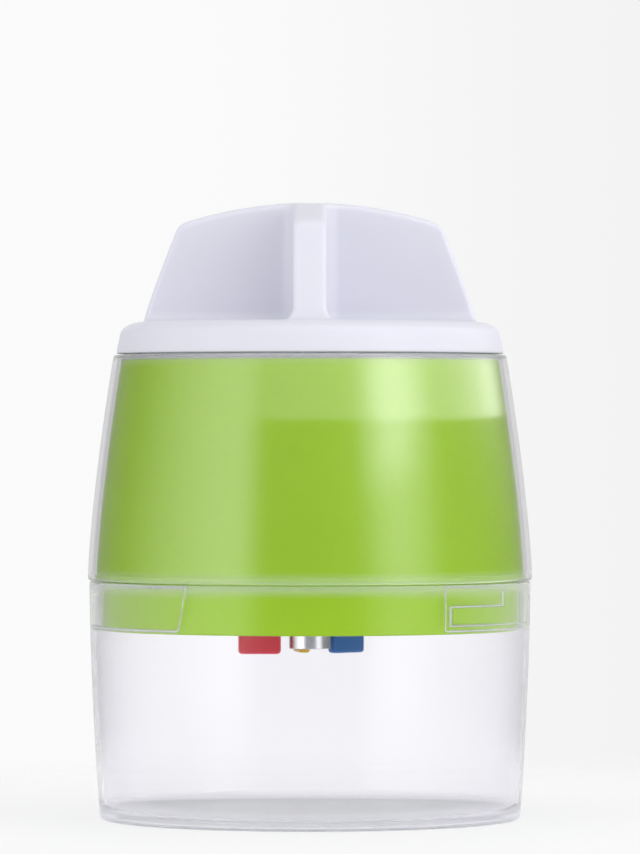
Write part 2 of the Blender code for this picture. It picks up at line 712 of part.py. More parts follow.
def build_guide(body, material):
    """The guide under the blade plate: three channels that carry the comb slides."""
    shape = bmesh.new()
    hub = GUIDE_BORE + GUIDE_WALL
    add_rod(shape, hub + GUIDE_WALL, GUIDE_BOTTOM, GUIDE_TOP, sides=TUBE_SIDES)
    guide = make("comb_guide", shape, material, body)

    arms = bmesh.new()
    ears = bmesh.new()
    channels = bmesh.new()
    slots = bmesh.new()
    add_rod(slots, GUIDE_BORE, GUIDE_BOTTOM - BLEND, GUIDE_TOP + BLEND, sides=TUBE_SIDES)
    half_channel = SLIDE_THICKNESS / 2 + SEAT_GAP
    half_slot = TAB_THICKNESS / 2 + SEAT_GAP
    ear = arc((GUIDE_SCREW_PLACE, 0.0), GUIDE_EAR, -90.0, 90.0, 2 * ARC_STEPS)
    ear += [(GUIDE_END - BLEND, GUIDE_EAR), (GUIDE_END - BLEND, -GUIDE_EAR)]
    for angle in COMB_ANGLES:
        turn = Matrix.Rotation(math.radians(angle), 4, "Z")
        add_block(arms, (hub, -GUIDE_HALF_WIDTH, GUIDE_BOTTOM),
                  (GUIDE_END, GUIDE_HALF_WIDTH, GUIDE_TOP), turn)
        add_prism(ears, ear, GUIDE_TOP - GUIDE_FLOOR, GUIDE_TOP, turn)
        add_block(channels, (SLIDE_START - SEAT_GAP, -half_channel, GUIDE_FLOOR_TOP),
                  (SLIDE_END + SEAT_GAP, half_channel, GUIDE_TOP + BLEND), turn)
        add_block(slots, (TAB_START - SEAT_GAP, -half_slot, GUIDE_BOTTOM - BLEND),
                  (TAB_END + SEAT_GAP, half_slot, GUIDE_FLOOR_TOP + BLEND), turn)
    for place in guide_screw_places():
        add_rod(channels, SCREW_RADIUS + SCREW_PLAY, GUIDE_BOTTOM, GUIDE_TOP + BLEND, place)
    fuse(guide, "guide_arms", arms)
    fuse(guide, "guide_ears", ears)
    cut(guide, "guide_channels", channels)
    cut(guide, "guide_slots", slots)
    return guide


def comb_outline(pitch):
    """A steel comb seen from its side: a root strip with leaning teeth along its top."""
    tip = PLATE_TOP - COMB_SUNK
    gullet = tip - COMB_TRAVEL + COMB_SUNK
    root = GUIDE_FLOOR_TOP + SEAT_GAP + SLIDE_HEAD - COMB_ROOT
    outline = [(COMB_START, root), (COMB_END, root)]
    count = int((COMB_LENGTH - TOOTH_WIDTH) / pitch) + 1
    first = COMB_START + (COMB_LENGTH - TOOTH_WIDTH - (count - 1) * pitch) / 2
    outline += [(COMB_END, gullet)]
    for index in reversed(range(count)):
        inner = first + index * pitch
        outline += [(inner + TOOTH_WIDTH, gullet), (inner + TOOTH_TIP, tip), (inner, tip), (inner, gullet)]
    outline += [(COMB_START, gullet)]
    return [
        point for point, after in zip(outline, outline[1:] + outline[:1])
        if math.dist(point, after) > BLADE_EDGE
    ]


def build_comb(name, angle, pitch, colour, body, steel):
    """One comb: its coloured slide with a finger tab, and its steel teeth."""
    axis = make_axis(f"{name}_comb_axis", 0.0, body)
    turn = Matrix.Rotation(math.radians(angle), 4, "Z")
    head_low = GUIDE_FLOOR_TOP + SEAT_GAP
    head_high = head_low + SLIDE_HEAD
    shape = bmesh.new()
    half = SLIDE_THICKNESS / 2
    add_block(shape, (SLIDE_START, -half, head_low), (SLIDE_END, half, head_high), turn)
    slide = make(f"{name}_comb_slide", shape, colour, axis)

    bottom = GUIDE_BOTTOM - TAB_BELOW_GUIDE
    tab_outline = [(TAB_START, head_low + BLEND)]
    tab_outline += arc((TAB_START + TAB_ROUND, bottom + TAB_ROUND), TAB_ROUND, 180.0, 270.0)
    tab_outline += arc((TAB_END - TAB_ROUND, bottom + TAB_ROUND), TAB_ROUND, 270.0, 360.0)
    tab_outline += [(TAB_END, head_low + BLEND)]
    tab = bmesh.new()
    add_prism(tab, tab_outline, -TAB_THICKNESS / 2, TAB_THICKNESS / 2, turn @ FACING_FRONT)
    fuse(slide, f"{name}_tab", tab)

    recesses = bmesh.new()
    half_slot = COMB_STEEL / 2 + SEAT_GAP
    add_block(recesses, (COMB_START - SEAT_GAP, -half_slot, head_high - COMB_ROOT - SEAT_GAP),
              (COMB_END + SEAT_GAP, half_slot, head_high + BLEND), turn)
    groove_inset = TAB_ROUND + BLEND
    for index in range(TAB_GROOVES):
        height = bottom + groove_inset + index * TAB_GROOVE_STEP
        for side in (-1, 1):
            surface = side * TAB_THICKNESS / 2
            groove = [
                (surface - side * TAB_GROOVE_DEPTH, height),
                (surface + side * BLEND, height - BLEND),
                (surface + side * BLEND, height + BLEND),
            ]
            add_prism(recesses, groove, TAB_START + groove_inset, TAB_END - groove_inset,
                      turn @ FACING_X)
    cut(slide, f"{name}_slide_recesses", recesses)

    teeth = bmesh.new()
    add_prism(teeth, comb_outline(pitch), -COMB_STEEL / 2, COMB_STEEL / 2, turn @ FACING_FRONT)
    make(f"{name}_comb_teeth", teeth, steel, axis)


# Food holder

def fin_reach(height):
    """How far a fin reaches from the axis at a height above the holder's floor."""
    share = height / FIN_HEIGHT
    straight = FIN_BASE_REACH - FIN_TAPER * share
    return straight + FIN_SIDE_BULGE * 4 * share * (1 - share)


def fin_top(radius):
    """Height of the fins' domed top above the holder's floor, at a distance from the axis."""
    return FIN_APEX - (FIN_TOP_ARC - math.sqrt(FIN_TOP_ARC ** 2 - radius ** 2))


def cross_outline(reach, half, inner_round, end_round):
    """A plus-shaped outline with rounded corners, anticlockwise."""
    corner = half + inner_round
    side = levels(corner, reach - end_round, FIN_STEPS)[:-1]
    arm = arc((corner, -corner), inner_round, 180.0, 90.0)[1:-1]
    arm += [(x, -half) for x in side]
    arm += arc((reach - end_round, end_round - half), end_round, -90.0, 0.0, END_STEPS)
    arm += arc((reach - end_round, half - end_round), end_round, 0.0, 90.0, END_STEPS)
    arm += [(x, half) for x in reversed(side)]
    points = []
    for fin in range(FINS):
        turn = Matrix.Rotation(2 * math.pi * fin / FINS, 2)
        points += [tuple(turn @ Vector(point)) for point in arm]
    return points


def add_cross_fins(shape, skin, end_round, foot_round, edge_round, sink):
    """Crossed fins, built from plus-shaped rings that narrow upwards and follow the domed top.

    The skin is how far this shape lies inside the fins' outer faces.
    """
    def wall(radius):
        """Height of the straight wall at a distance from the axis."""
        return fin_top(radius) - skin - edge_round - foot_round

    quarter = [math.radians(angle) for angle in levels(0.0, 90.0, ARC_STEPS)]
    # Each ring is how far it flares, how far it draws in, its share of the wall, and its own height
    steps = [(foot_round, 0.0, 0.0, -sink)]
    if foot_round:
        steps += [
            (foot_round * (1 - math.sin(a)), 0.0, 0.0, foot_round * (1 - math.cos(a)))
            for a in quarter
        ]
    steps += [(0.0, 0.0, share, foot_round) for share in levels(0.0, 1.0, FIN_STEPS)[1:]]
    if edge_round:
        steps += [
            (0.0, edge_round * (1 - math.cos(a)), 1.0, foot_round + edge_round * math.sin(a))
            for a in quarter[1:]
        ]
    rings = []
    for flare, inward, share, base in steps:
        reach = fin_reach(max(0.0, base + share * wall(FIN_SHOULDER_REACH))) - skin - inward
        outline = cross_outline(reach, FIN_THICKNESS / 2 - skin + flare - inward,
                                FIN_INNER_ROUND + skin - flare + inward, end_round)
        rings.append([
            shape.verts.new((x, y, HOLDER_FLOOR + base + share * wall(math.hypot(x, y))))
            for x, y in outline
        ])
    for lower, upper in zip(rings, rings[1:]):
        add_band(shape, lower, upper)
    shape.faces.new(rings[0])
    close_cross_top(shape, rings[-1], HOLDER_FLOOR + FIN_APEX - skin)


def close_cross_top(shape, ring, apex):
    """Close the domed top: a ladder of faces along each arm and a fan round the middle."""
    corner_points = ARC_STEPS - 1
    per_fin = len(ring) // FINS
    rim = []
    for fin in range(FINS):
        arm = ring[fin * per_fin:(fin + 1) * per_fin]
        corner = arm[:corner_points]
        sides = arm[corner_points:]
        for index in range(len(sides) // 2 - 1):
            mirrored = len(sides) - 1 - index
            shape.faces.new((sides[index], sides[index + 1], sides[mirrored - 1], sides[mirrored]))
        rim += corner + [sides[0], sides[-1]]
    add_band(shape, rim, [shape.verts.new((0.0, 0.0, apex))])


def build_grip(holder):
    """The white holder: skirt, flange and crossed fins, hollow from below."""
    crown_drop = FLANGE_HEIGHT - FLANGE_ROUND
    outline = [(0.0, HOLDER_CEILING), (SKIRT_INNER, HOLDER_CEILING)]
    outline += [(SKIRT_INNER, -SKIRT_DEPTH), (SKIRT_RADIUS - SKIRT_DRAFT - BLEND, -SKIRT_DEPTH)]
    outline += [(SKIRT_RADIUS - SKIRT_DRAFT, BLEND - SKIRT_DEPTH), (SKIRT_RADIUS, 0.0)]
    outline += [(FLANGE_RADIUS - BLEND, 0.0), (FLANGE_RADIUS, BLEND)]
    outline += [(FLANGE_TOP_RADIUS, crown_drop)]
    outline += arc((FLANGE_TOP_RADIUS - FLANGE_ROUND, crown_drop), FLANGE_ROUND,
                   FLANGE_ROUND_START, FLANGE_ROUND_END, 2)
    outline += [(CROWN_RADIUS + FLANGE_CROWN_WIDTH / 3, HOLDER_FLOOR - FLANGE_CROWN / 4)]
    outline += [(CROWN_RADIUS, HOLDER_FLOOR), (0.0, HOLDER_FLOOR)]
    shape = bmesh.new()
    add_turned(shape, outline)
    white = finish("white_plastic", (0.8, 0.8, 0.87), 0.35)
    grip = make("holder_grip", shape, white, holder)

    fins = bmesh.new()
    add_cross_fins(fins, 0.0, FIN_END_ROUND, FIN_FOOT_ROUND, FIN_EDGE_ROUND, BLEND)
    fuse(grip, "crossed_fins", fins)

    hollow = bmesh.new()
    add_cross_fins(hollow, FIN_WALL, FIN_HOLLOW_ROUND, 0.0, 0.0, HOLDER_SKIN + BLEND)
    core = bmesh.new()
    add_rod(core, HOLDER_CORE_RADIUS, 0.0, HOLDER_FLOOR + FIN_APEX, sides=TUBE_SIDES)
    cut(grip, "fin_hollow", hollow)
    cut(bpy.data.objects["fin_hollow"], "fin_core", core)

    bosses = bmesh.new()
    holes = bmesh.new()
    add_rod(bosses, HOLDER_CORE_RADIUS, BOSS_BOTTOM, HOLDER_CEILING + BLEND, sides=TUBE_SIDES)
    add_rod(holes, SPIKE_RADIUS + SEAT_GAP, BOSS_BOTTOM - BLEND, BOSS_BOTTOM + SPIKE_IN_CORE + SEAT_GAP)
    for place in circle_places(HOLDER_SCREWS, HOLDER_SCREW_CIRCLE, SCREWS_START):
        add_rod(bosses, HOLDER_BOSS_RADIUS, BOSS_BOTTOM, HOLDER_CEILING + BLEND, place)
        add_rod(holes, SCREW_RADIUS + SCREW_PLAY, BOSS_BOTTOM - BLEND, HOLDER_FLOOR - HOLE_END, place)
    fuse(grip, "holder_bosses", bosses)
    cut(grip, "holder_holes", holes)
    return grip


def prong_places():
    """The places of the prongs, on two circles round the spike. The inner ones stand between the fins."""
    places = circle_places(PRONGS_IN_CIRCLE, INNER_PRONG_CIRCLE, 180.0 / PRONGS_IN_CIRCLE)
    places += circle_places(PRONGS_IN_CIRCLE, OUTER_PRONG_CIRCLE, 0.0)
    return places


def build_prongs(holder, plate_finish, steel):
    """The disc inside the skirt and the pointed pins that it holds."""
    shape = bmesh.new()
    radius = SKIRT_INNER - SEAT_GAP
    low = PRONG_PLATE_BOTTOM
    high = PRONG_PLATE_TOP
    add_turned(shape, [
        (0.0, low), (radius - BLEND, low), (radius, low + BLEND), (radius, high), (0.0, high),
    ])
    plate = make("prong_plate", shape, plate_finish, holder)
    holes = bmesh.new()
    add_rod(holes, SPIKE_RADIUS + SEAT_GAP, low - BLEND, high + BLEND)
    for place in prong_places():
        add_rod(holes, PRONG_RADIUS + SEAT_GAP, low - BLEND, high + BLEND, place)
    for place in circle_places(HOLDER_SCREWS, HOLDER_SCREW_CIRCLE, SCREWS_START):
        add_rod(holes, SCREW_RADIUS + SCREW_PLAY, low - BLEND, high + BLEND, place)
    cut(plate, "prong_plate_holes", holes)

    prong = bmesh.new()
    seat = high + SEAT_GAP
    tip = low - PRONG_LENGTH
    add_turned(prong, [
        (0.0, tip),
        (PRONG_RADIUS, tip + PRONG_POINT),
        (PRONG_RADIUS, seat),
        (PRONG_HEAD_RADIUS, seat),
        (PRONG_HEAD_RADIUS, seat + PRONG_HEAD),
        (0.0, seat + PRONG_HEAD),
    ], sides=SMALL_SIDES)
    make_copies("prong", prong, prong_places(), steel, holder)


def build_spike(spindle, steel):
    """The central spike, on the axis that the holder turns about."""
    flange_top = PRONG_PLATE_BOTTOM - SEAT_GAP
    flange_bottom = flange_top - SPIKE_FLANGE
    top = BOSS_BOTTOM + SPIKE_IN_CORE
    tip = flange_bottom - SPIKE_LENGTH
    shape = bmesh.new()
    add_turned(shape, [
        (0.0, tip),
        (SPIKE_RADIUS, tip + SPIKE_POINT),
        (SPIKE_RADIUS, flange_bottom),
        (SPIKE_FLANGE_RADIUS, flange_bottom),
        (SPIKE_FLANGE_RADIUS, flange_top),
        (SPIKE_RADIUS, flange_top),
        (SPIKE_RADIUS, top),
        (0.0, top),
    ], sides=TUBE_SIDES // 2)
    make("center_spike", shape, steel, spindle)


def build_spiralizer():
    """Every piece, in the order in which the tool is put together."""
    steel = finish("steel", (0.62, 0.63, 0.66), 0.25, 1.0)
    screw_steel = finish("screw_steel", (0.5, 0.5, 0.52), 0.35, 1.0)
    pale = finish("pale_plastic", (0.72, 0.74, 0.78), 0.4)
    slide_colours = {
        "red": finish("red_plastic", (0.52, 0.05, 0.08), 0.35),
        "yellow": finish("yellow_plastic", (0.85, 0.55, 0.05), 0.35),
        "blue": finish("blue_plastic", (0.05, 0.2, 0.55), 0.35),
    }
    build_container()

    body = make_axis("cutter_axis", 0.0)
    build_shell(body)
    build_cup(body)
    build_plate(body, finish("plate_green", (0.27, 0.5, 0.06), 0.35))
    screw_seat = PLATE_BOTTOM - SEAT_GAP
    build_screws("plate_screw", circle_places(PLATE_SCREWS, PLATE_SCREW_CIRCLE, SCREWS_START),
                 screw_seat, LEDGE_TOP + SCREW_GRIP, screw_steel, body)
    build_blade(body, steel)
    build_coring_tube(body, steel)
    build_guide(body, pale)
    build_screws("guide_screw", guide_screw_places(), GUIDE_TOP - GUIDE_FLOOR - SEAT_GAP,
                 PLATE_TOP - 2 * HOLE_END, screw_steel, body)
    for (name, pitch), angle in zip(COMB_PITCHES.items(), COMB_ANGLES):
        build_comb(name, angle, pitch, slide_colours[name], body, steel)

    spindle = make_axis("holder_spindle_axis", FLANGE_BOTTOM, body)
    build_spike(spindle, steel)
    holder = make_axis("holder_axis", 0.0, spindle)
    build_grip(holder)
    build_prongs(holder, pale, steel)
    build_screws("holder_screw", circle_places(HOLDER_SCREWS, HOLDER_SCREW_CIRCLE, SCREWS_START),
                 PRONG_PLATE_BOTTOM - SEAT_GAP, HOLDER_FLOOR - 2 * HOLE_END, screw_steel, holder)


clear_scene()
GUIDE_FINISH = finish("cutter_guide", (0.5, 0.5, 0.5), 0.5)
build_spiralizer()
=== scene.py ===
# %% [markdown]
# # A hand spiralizer in Blender
#
# The tool is a clear container, a green cutter body in a clear shell, and a white food holder
# with a cross-shaped grip. The CAD model gives each part its place and size. This script gives
# each part its smooth surface and its finish, lights it softly, and sets the camera.
#
# Every new surface is worked out with numpy as a grid of points. A turned part is a profile
# carried round the tool's upright axis. The lock and the lugs are moulded parts of round walls,
# so they are the same kind of grid with a radius that depends on both the angle and the height.

import json
import math

import bmesh
import bpy
import numpy as np
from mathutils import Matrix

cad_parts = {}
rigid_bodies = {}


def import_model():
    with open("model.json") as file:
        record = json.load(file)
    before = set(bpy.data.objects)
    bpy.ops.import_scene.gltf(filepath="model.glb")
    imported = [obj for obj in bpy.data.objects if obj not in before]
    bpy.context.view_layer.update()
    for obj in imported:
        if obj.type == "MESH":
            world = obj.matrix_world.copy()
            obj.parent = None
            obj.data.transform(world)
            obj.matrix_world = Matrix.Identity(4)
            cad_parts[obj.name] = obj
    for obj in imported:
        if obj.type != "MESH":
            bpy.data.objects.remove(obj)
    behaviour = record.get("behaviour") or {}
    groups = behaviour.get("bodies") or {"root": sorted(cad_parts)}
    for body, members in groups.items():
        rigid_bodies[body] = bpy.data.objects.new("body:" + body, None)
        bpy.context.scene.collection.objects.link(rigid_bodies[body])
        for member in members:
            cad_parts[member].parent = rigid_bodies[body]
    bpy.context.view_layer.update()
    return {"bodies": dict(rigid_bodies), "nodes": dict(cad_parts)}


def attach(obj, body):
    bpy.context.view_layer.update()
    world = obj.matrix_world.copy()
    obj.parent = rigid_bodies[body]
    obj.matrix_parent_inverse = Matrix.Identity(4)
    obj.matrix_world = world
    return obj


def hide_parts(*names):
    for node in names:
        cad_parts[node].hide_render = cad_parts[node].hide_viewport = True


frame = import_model()
NODES = frame["nodes"]
MM = 0.001

# %% [markdown]
# ## Clearing away the start-up scene
#
# Blender may start with a cube, a lamp and a camera. They aren't part of the tool, so they go.
# The frame's own nodes and empties stay.

# %% Remove what the file starts with
kept = set(NODES.values()) | set(frame["bodies"].values())
for item in [o for o in bpy.data.objects if o not in kept]:
    bpy.data.objects.remove(item, do_unlink=True)
bpy.context.scene.view_settings.view_transform = "Standard"
print("start-up objects removed")

# %% [markdown]
# ## From a grid of points to a mesh
#
# A parametric surface is an array of points with rows and columns. Four neighbours make a face.
# Where a whole row falls on one point, as at the tip of a pin, the faces there become triangles
# that share one vertex, so the pole is closed. Doing this with index arrays is much quicker than
# adding vertices one at a time, and it works for every shape here.

# %% Weave a grid into a mesh
SMOOTH_ANGLE = math.radians(38.0)
POLE_WIDTH = 1e-9
MERGE_DISTANCE = 1e-7


def grid(points, wrap_rows=False, caps=()):
    """Vertices and faces of a grid: a face joins (i, j), (i, j+1), (i+1, j+1) and (i+1, j).

    A cap is one more face, as a list of point numbers counted along the rows.
    """
    rows, columns = points.shape[:2]
    index = np.arange(rows * columns).reshape(rows, columns)
    pole = np.ptp(points, axis=1).max(axis=1) < POLE_WIDTH
    index[pole] = index[pole, :1]
    row, column = np.meshgrid(np.arange(rows if wrap_rows else rows - 1), np.arange(columns),
                              indexing="ij")
    next_row = (row + 1) % rows
    next_column = (column + 1) % columns
    corners = [index[row, column], index[row, next_column],
               index[next_row, next_column], index[next_row, column]]
    quads = np.stack(corners, axis=-1).reshape(-1, 4)
    from_pole = quads[:, 0] == quads[:, 1]
    to_pole = quads[:, 2] == quads[:, 3]
    used = np.unique(quads)
    place = np.zeros(rows * columns, int)
    place[used] = np.arange(len(used))
    quads = place[quads]
    faces = quads[~from_pole & ~to_pole].tolist()
    faces += quads[from_pole][:, [0, 2, 3]].tolist()
    faces += quads[to_pole][:, [0, 1, 2]].tolist()
    faces += [place[np.asarray(cap)].tolist() for cap in caps]
    return points.reshape(-1, 3)[used], faces


def join(name, *parts):
    """One mesh from several grids."""
    starts = np.cumsum([0] + [len(vertices) for vertices, _ in parts])
    faces = [[corner + start for corner in face]
             for (_, part_faces), start in zip(parts, starts.tolist()) for face in part_faces]
    mesh = bpy.data.meshes.new(name)
    mesh.from_pydata(np.vstack([vertices for vertices, _ in parts]).tolist(), [], faces)
    return mesh


def settle(mesh):
    """Merge doubles, turn the faces outwards and shade them smooth, except at sharp edges."""
    shape = bmesh.new()
    shape.from_mesh(mesh)
    bmesh.ops.remove_doubles(shape, verts=shape.verts, dist=MERGE_DISTANCE)
    bmesh.ops.recalc_face_normals(shape, faces=shape.faces)
    shape.to_mesh(mesh)
    shape.free()
    mesh.shade_smooth()
    mesh.set_sharp_from_angle(angle=SMOOTH_ANGLE)
    return mesh


def piece(name, parts, material, body, replaced=()):
    """One object from grids, which rides on a CAD body and stands for CAD nodes."""
    item = bpy.data.objects.new(name, settle(join(name, *parts)))
    item.data.materials.append(material)
    bpy.context.scene.collection.objects.link(item)
    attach(item, body)
    if replaced:
        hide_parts(*replaced)
    print(f"{name}: {len(item.data.polygons)} faces")
    return item


# %% [markdown]
# ## Profiles with real edge rounds
#
# Nothing that comes out of a mould has a perfectly sharp edge. A round of a few tenths of a
# millimetre catches a thin line of light, and that line tells the eye how big the part is.
# A Bevel modifier could add the rounds afterwards. It is simpler to put them in the profile:
# each station has its own round, and a short parabola replaces the corner there.

# %% Profile helpers
ROUND_STEPS = 6
LONGEST_ROUND = 0.49
SHORTEST_STEP = 1e-8


def outline(*stations):
    """Closed profile through rows of (radius, height, round).

    A corner P becomes (1-t)^2 A + 2t(1-t) P + t^2 B, where A and B lie one round away from P
    towards its neighbours.
    """
    rows = np.vstack([np.atleast_2d(station) for station in stations]).astype(float)
    corner = rows[:, :2]
    back = np.roll(corner, 1, axis=0) - corner
    ahead = np.roll(corner, -1, axis=0) - corner
    back_length = np.linalg.norm(back, axis=1)
    ahead_length = np.linalg.norm(ahead, axis=1)
    reach = np.minimum(rows[:, 2], LONGEST_ROUND * np.minimum(back_length, ahead_length))
    start = corner + back * (reach / back_length)[:, None]
    end = corner + ahead * (reach / ahead_length)[:, None]
    t = np.linspace(0.0, 1.0, ROUND_STEPS)[None, :, None]
    start, corner, end = start[:, None], corner[:, None], end[:, None]
    points = (1 - t) ** 2 * start + 2 * t * (1 - t) * corner + t ** 2 * end
    points = points.reshape(-1, 2)
    step = np.linalg.norm(points - np.roll(points, 1, axis=0), axis=1)
    return points[step > SHORTEST_STEP]


def sharp(radius, z):
    """Stations (radius, z, 0), which have no round."""
    return np.column_stack([np.broadcast_to(radius, z.shape), z, np.zeros(len(z))])


def wall(radius_at, low, high, count):
    """Stations of a curved wall at evenly spaced heights from low to high."""
    z = np.linspace(low, high, count)
    return sharp(radius_at(z), z)


def round_points(r, turn, z):
    """Points (r sin a, -r cos a, z), where the turn a runs from the front towards +X."""
    x = r * np.sin(turn)
    return np.stack([x, -r * np.cos(turn), np.broadcast_to(z, x.shape)], axis=-1)


def full_turn(steps):
    """Evenly spaced angles over a full turn, without its end."""
    return np.linspace(0.0, 2 * math.pi, steps, endpoint=False)


def turn_points(profile, steps):
    """Points of a profile carried round Z."""
    return round_points(profile[:, 0, None], full_turn(steps), profile[:, 1, None])


def turned(profile, steps, closed=True):
    """Grid of a turned part. A closed profile makes a ring, an open one runs from pole to pole."""
    return grid(turn_points(profile, steps), wrap_rows=closed)


def shifted(points, x, turn):
    """Points moved along X and then turned round Z by an angle in degrees."""
    c, s = math.cos(math.radians(turn)), math.sin(math.radians(turn))
    return (points + [x, 0.0, 0.0]) @ np.array([[c, s, 0.0], [-s, c, 0.0], [0.0, 0.0, 1.0]])


def ring_of(points, circle, angles):
    """Equal grids on a circle, one at each angle in degrees."""
    return [grid(shifted(points, x=circle, turn=angle)) for angle in angles]


def ease(x, edge, width):
    """Smooth step from 0 to 1 round an edge: t^2 (3 - 2t), with t across the given width."""
    t = np.clip((x - edge) / width + 0.5, 0.0, 1.0)
    return t * t * (3 - 2 * t)


def band(x, low, high, width):
    """1 between low and high and 0 outside, with smooth ends."""
    return ease(x, low, width) * (1 - ease(x, high, width))


def with_edges(base, edges, width):
    """Evenly spaced values with six extra ones across each edge, to keep it crisp."""
    local = np.linspace(-0.5, 0.5, 6) * width
    extra = (np.asarray(edges)[:, None] + local).ravel()
    keep = np.abs(base[:, None] - extra).min(axis=1) > width / 8
    return np.sort(np.concatenate([base[keep], extra]))


print("helpers ready")

# %% [markdown]
# ## Moulded plastic
#
# Injection-moulded plastic isn't one flat colour. Its surface has a very slight waviness from the
# mould, its gloss varies a little, and dyed plastic lets some light in and scatters it back, which
# softens its shadows. The Principled shader gives all of this: subsurface for the scattering, a
# noise-driven bump for the waviness, and a noise-driven roughness for the gloss. The noise reads
# Object coordinates, so the pattern stays on the part when it moves.

# %% Shader helpers


def new_material(name):
    """A node material, its node tree and its Principled shader."""
    material = bpy.data.materials.new(name)
    material.use_nodes = True
    return material, material.node_tree, material.node_tree.nodes["Principled BSDF"]


def set_sockets(node, *values, **named):
    """Set inputs in order or by name (_ is a space) to numbers, colours or other nodes' outputs."""
    pairs = list(zip(node.inputs, values))
    pairs += [(node.inputs[name.replace("_", " ")], value) for name, value in named.items()]
    for socket, value in pairs:
        if isinstance(value, bpy.types.NodeSocket):
            node.id_data.links.new(value, socket)
        else:
            socket.default_value = value


def add_node(tree, kind, *values, **named):
    """A new node with its inputs set."""
    node = tree.nodes.new("ShaderNode" + kind)
    set_sockets(node, *values, **named)
    return node


def noise_of(tree, scale, detail=2.0, stretch=(1.0, 1.0, 1.0)):
    """Noise over Object coordinates. The scale counts waves per metre, after the stretch."""
    place = add_node(tree, "TexCoord").outputs["Object"]
    place = add_node(tree, "Mapping", Vector=place, Scale=stretch).outputs["Vector"]
    return add_node(tree, "TexNoise", Vector=place, Scale=scale, Detail=detail).outputs["Fac"]


def spread(signal, low, high):
    """Map 0 to 1 onto low to high."""
    node = add_node(signal.id_data, "MapRange", Value=signal, To_Min=low, To_Max=high)
    return node.outputs["Result"]


def slope(value, low, high, first, last):
    """Smooth step from one level to another, between two values."""
    node = add_node(value.id_data, "MapRange", Value=value, From_Min=low, From_Max=high,
                    To_Min=first, To_Max=last)
    node.interpolation_type = "SMOOTHSTEP"
    return node.outputs["Result"]


def maths(operation, first, *others):
    """A Math node over a socket and further sockets or numbers."""
    node = add_node(first.id_data, "Math", first, *others)
    node.operation = operation
    return node.outputs["Value"]


def blend(share, first, second):
    """A Mix Shader from the first shader to the second."""
    return add_node(first.id_data, "MixShader", share, first, second).outputs["Shader"]


def ripple(shader, signal, depth, strength=1.0):
    """Use a signal as the height of a bump map, with its depth in metres."""
    bump = add_node(shader.id_data, "Bump", Strength=strength, Distance=depth, Height=signal)
    set_sockets(shader, Normal=bump.outputs["Normal"])


def tint(shader, signal, first, second):
    """Let a signal blend the base colour between two close colours."""
    node = add_node(shader.id_data, "Mix")
    node.data_type = "RGBA"
    set_sockets(node, Factor=signal, A=(*first, 1.0), B=(*second, 1.0))
    set_sockets(shader, Base_Color=node.outputs["Result"])


CLOUD_SCALE = 45.0
GLOSS_SCALE = 160.0
WAVE_SCALE = 240.0
WAVE_DEPTH = 0.02 * MM
SCATTER_DEPTH = 2.0 * MM


def moulded(name, colour, deeper, gloss, scatter=0.0, glow=(1.0, 1.0, 1.0), ior=1.45):
    """Opaque moulded plastic: two close colours, a gloss and a share of light scattered inside."""
    material, tree, shader = new_material(name)
    set_sockets(shader, IOR=ior, Subsurface_Weight=scatter, Subsurface_Scale=SCATTER_DEPTH,
                Subsurface_Radius=glow,
                Roughness=spread(noise_of(tree, GLOSS_SCALE), gloss - 0.04, gloss + 0.04))
    tint(shader, noise_of(tree, CLOUD_SCALE), colour, deeper)
    ripple(shader, noise_of(tree, WAVE_SCALE), WAVE_DEPTH)
    return material


WHITE = moulded("white_plastic", (0.73, 0.73, 0.81), (0.71, 0.71, 0.79), 0.42,
                0.25, (1.0, 0.95, 1.0), 1.28)
GREEN = moulded("green_plastic", (0.395, 0.66, 0.018), (0.38, 0.64, 0.016), 0.30,
                0.3, (0.6, 1.0, 0.2))
PLATE_GREEN = moulded("plate_green", (0.27, 0.50, 0.06), (0.24, 0.47, 0.05), 0.36)
PALE = moulded("pale_plastic", (0.66, 0.68, 0.72), (0.62, 0.64, 0.69), 0.42, 0.2)
RED = moulded("red_plastic", (0.92, 0.075, 0.12), (0.86, 0.065, 0.11), 0.32,
              0.15, (1.0, 0.3, 0.3))
YELLOW = moulded("yellow_plastic", (0.80, 0.50, 0.04), (0.76, 0.46, 0.03), 0.32,
                 0.15, (1.0, 0.8, 0.2))
BLUE = moulded("blue_plastic", (0.05, 0.18, 0.50), (0.04, 0.15, 0.46), 0.32,
               0.15, (0.3, 0.5, 1.0))
print("plastics:", *(m.name for m in (WHITE, GREEN, PLATE_GREEN, PALE, RED, YELLOW, BLUE)))

# %% [markdown]
# ## Clear plastic
#
# The container and the outer shell are clear styrene-type plastic. A thin flat sheet with low alpha
# would be quicker, but it has no thickness to show. The wall here has a real inside and outside,
# and the shader bends light through both.
#
# Moulded plastic is clear but not perfectly so. Where one looks along the wall, the long way
# through it shows as a pale lavender band, so Layer Weight adds a tint and a little milk there.
# Small rounds and slanted edges scatter light, so a vertex attribute named frost makes them milky.
# The refractive index is set below the real 1.6 on purpose: with the true value the edges pick up
# hard dark lines, and the photograph's plastic shows soft pale ones.

# %% Clear materials
FROST_COLOUR = (0.91, 0.895, 0.98, 1.0)
MILK_THROUGH = 0.35
SIDE_END = 0.9


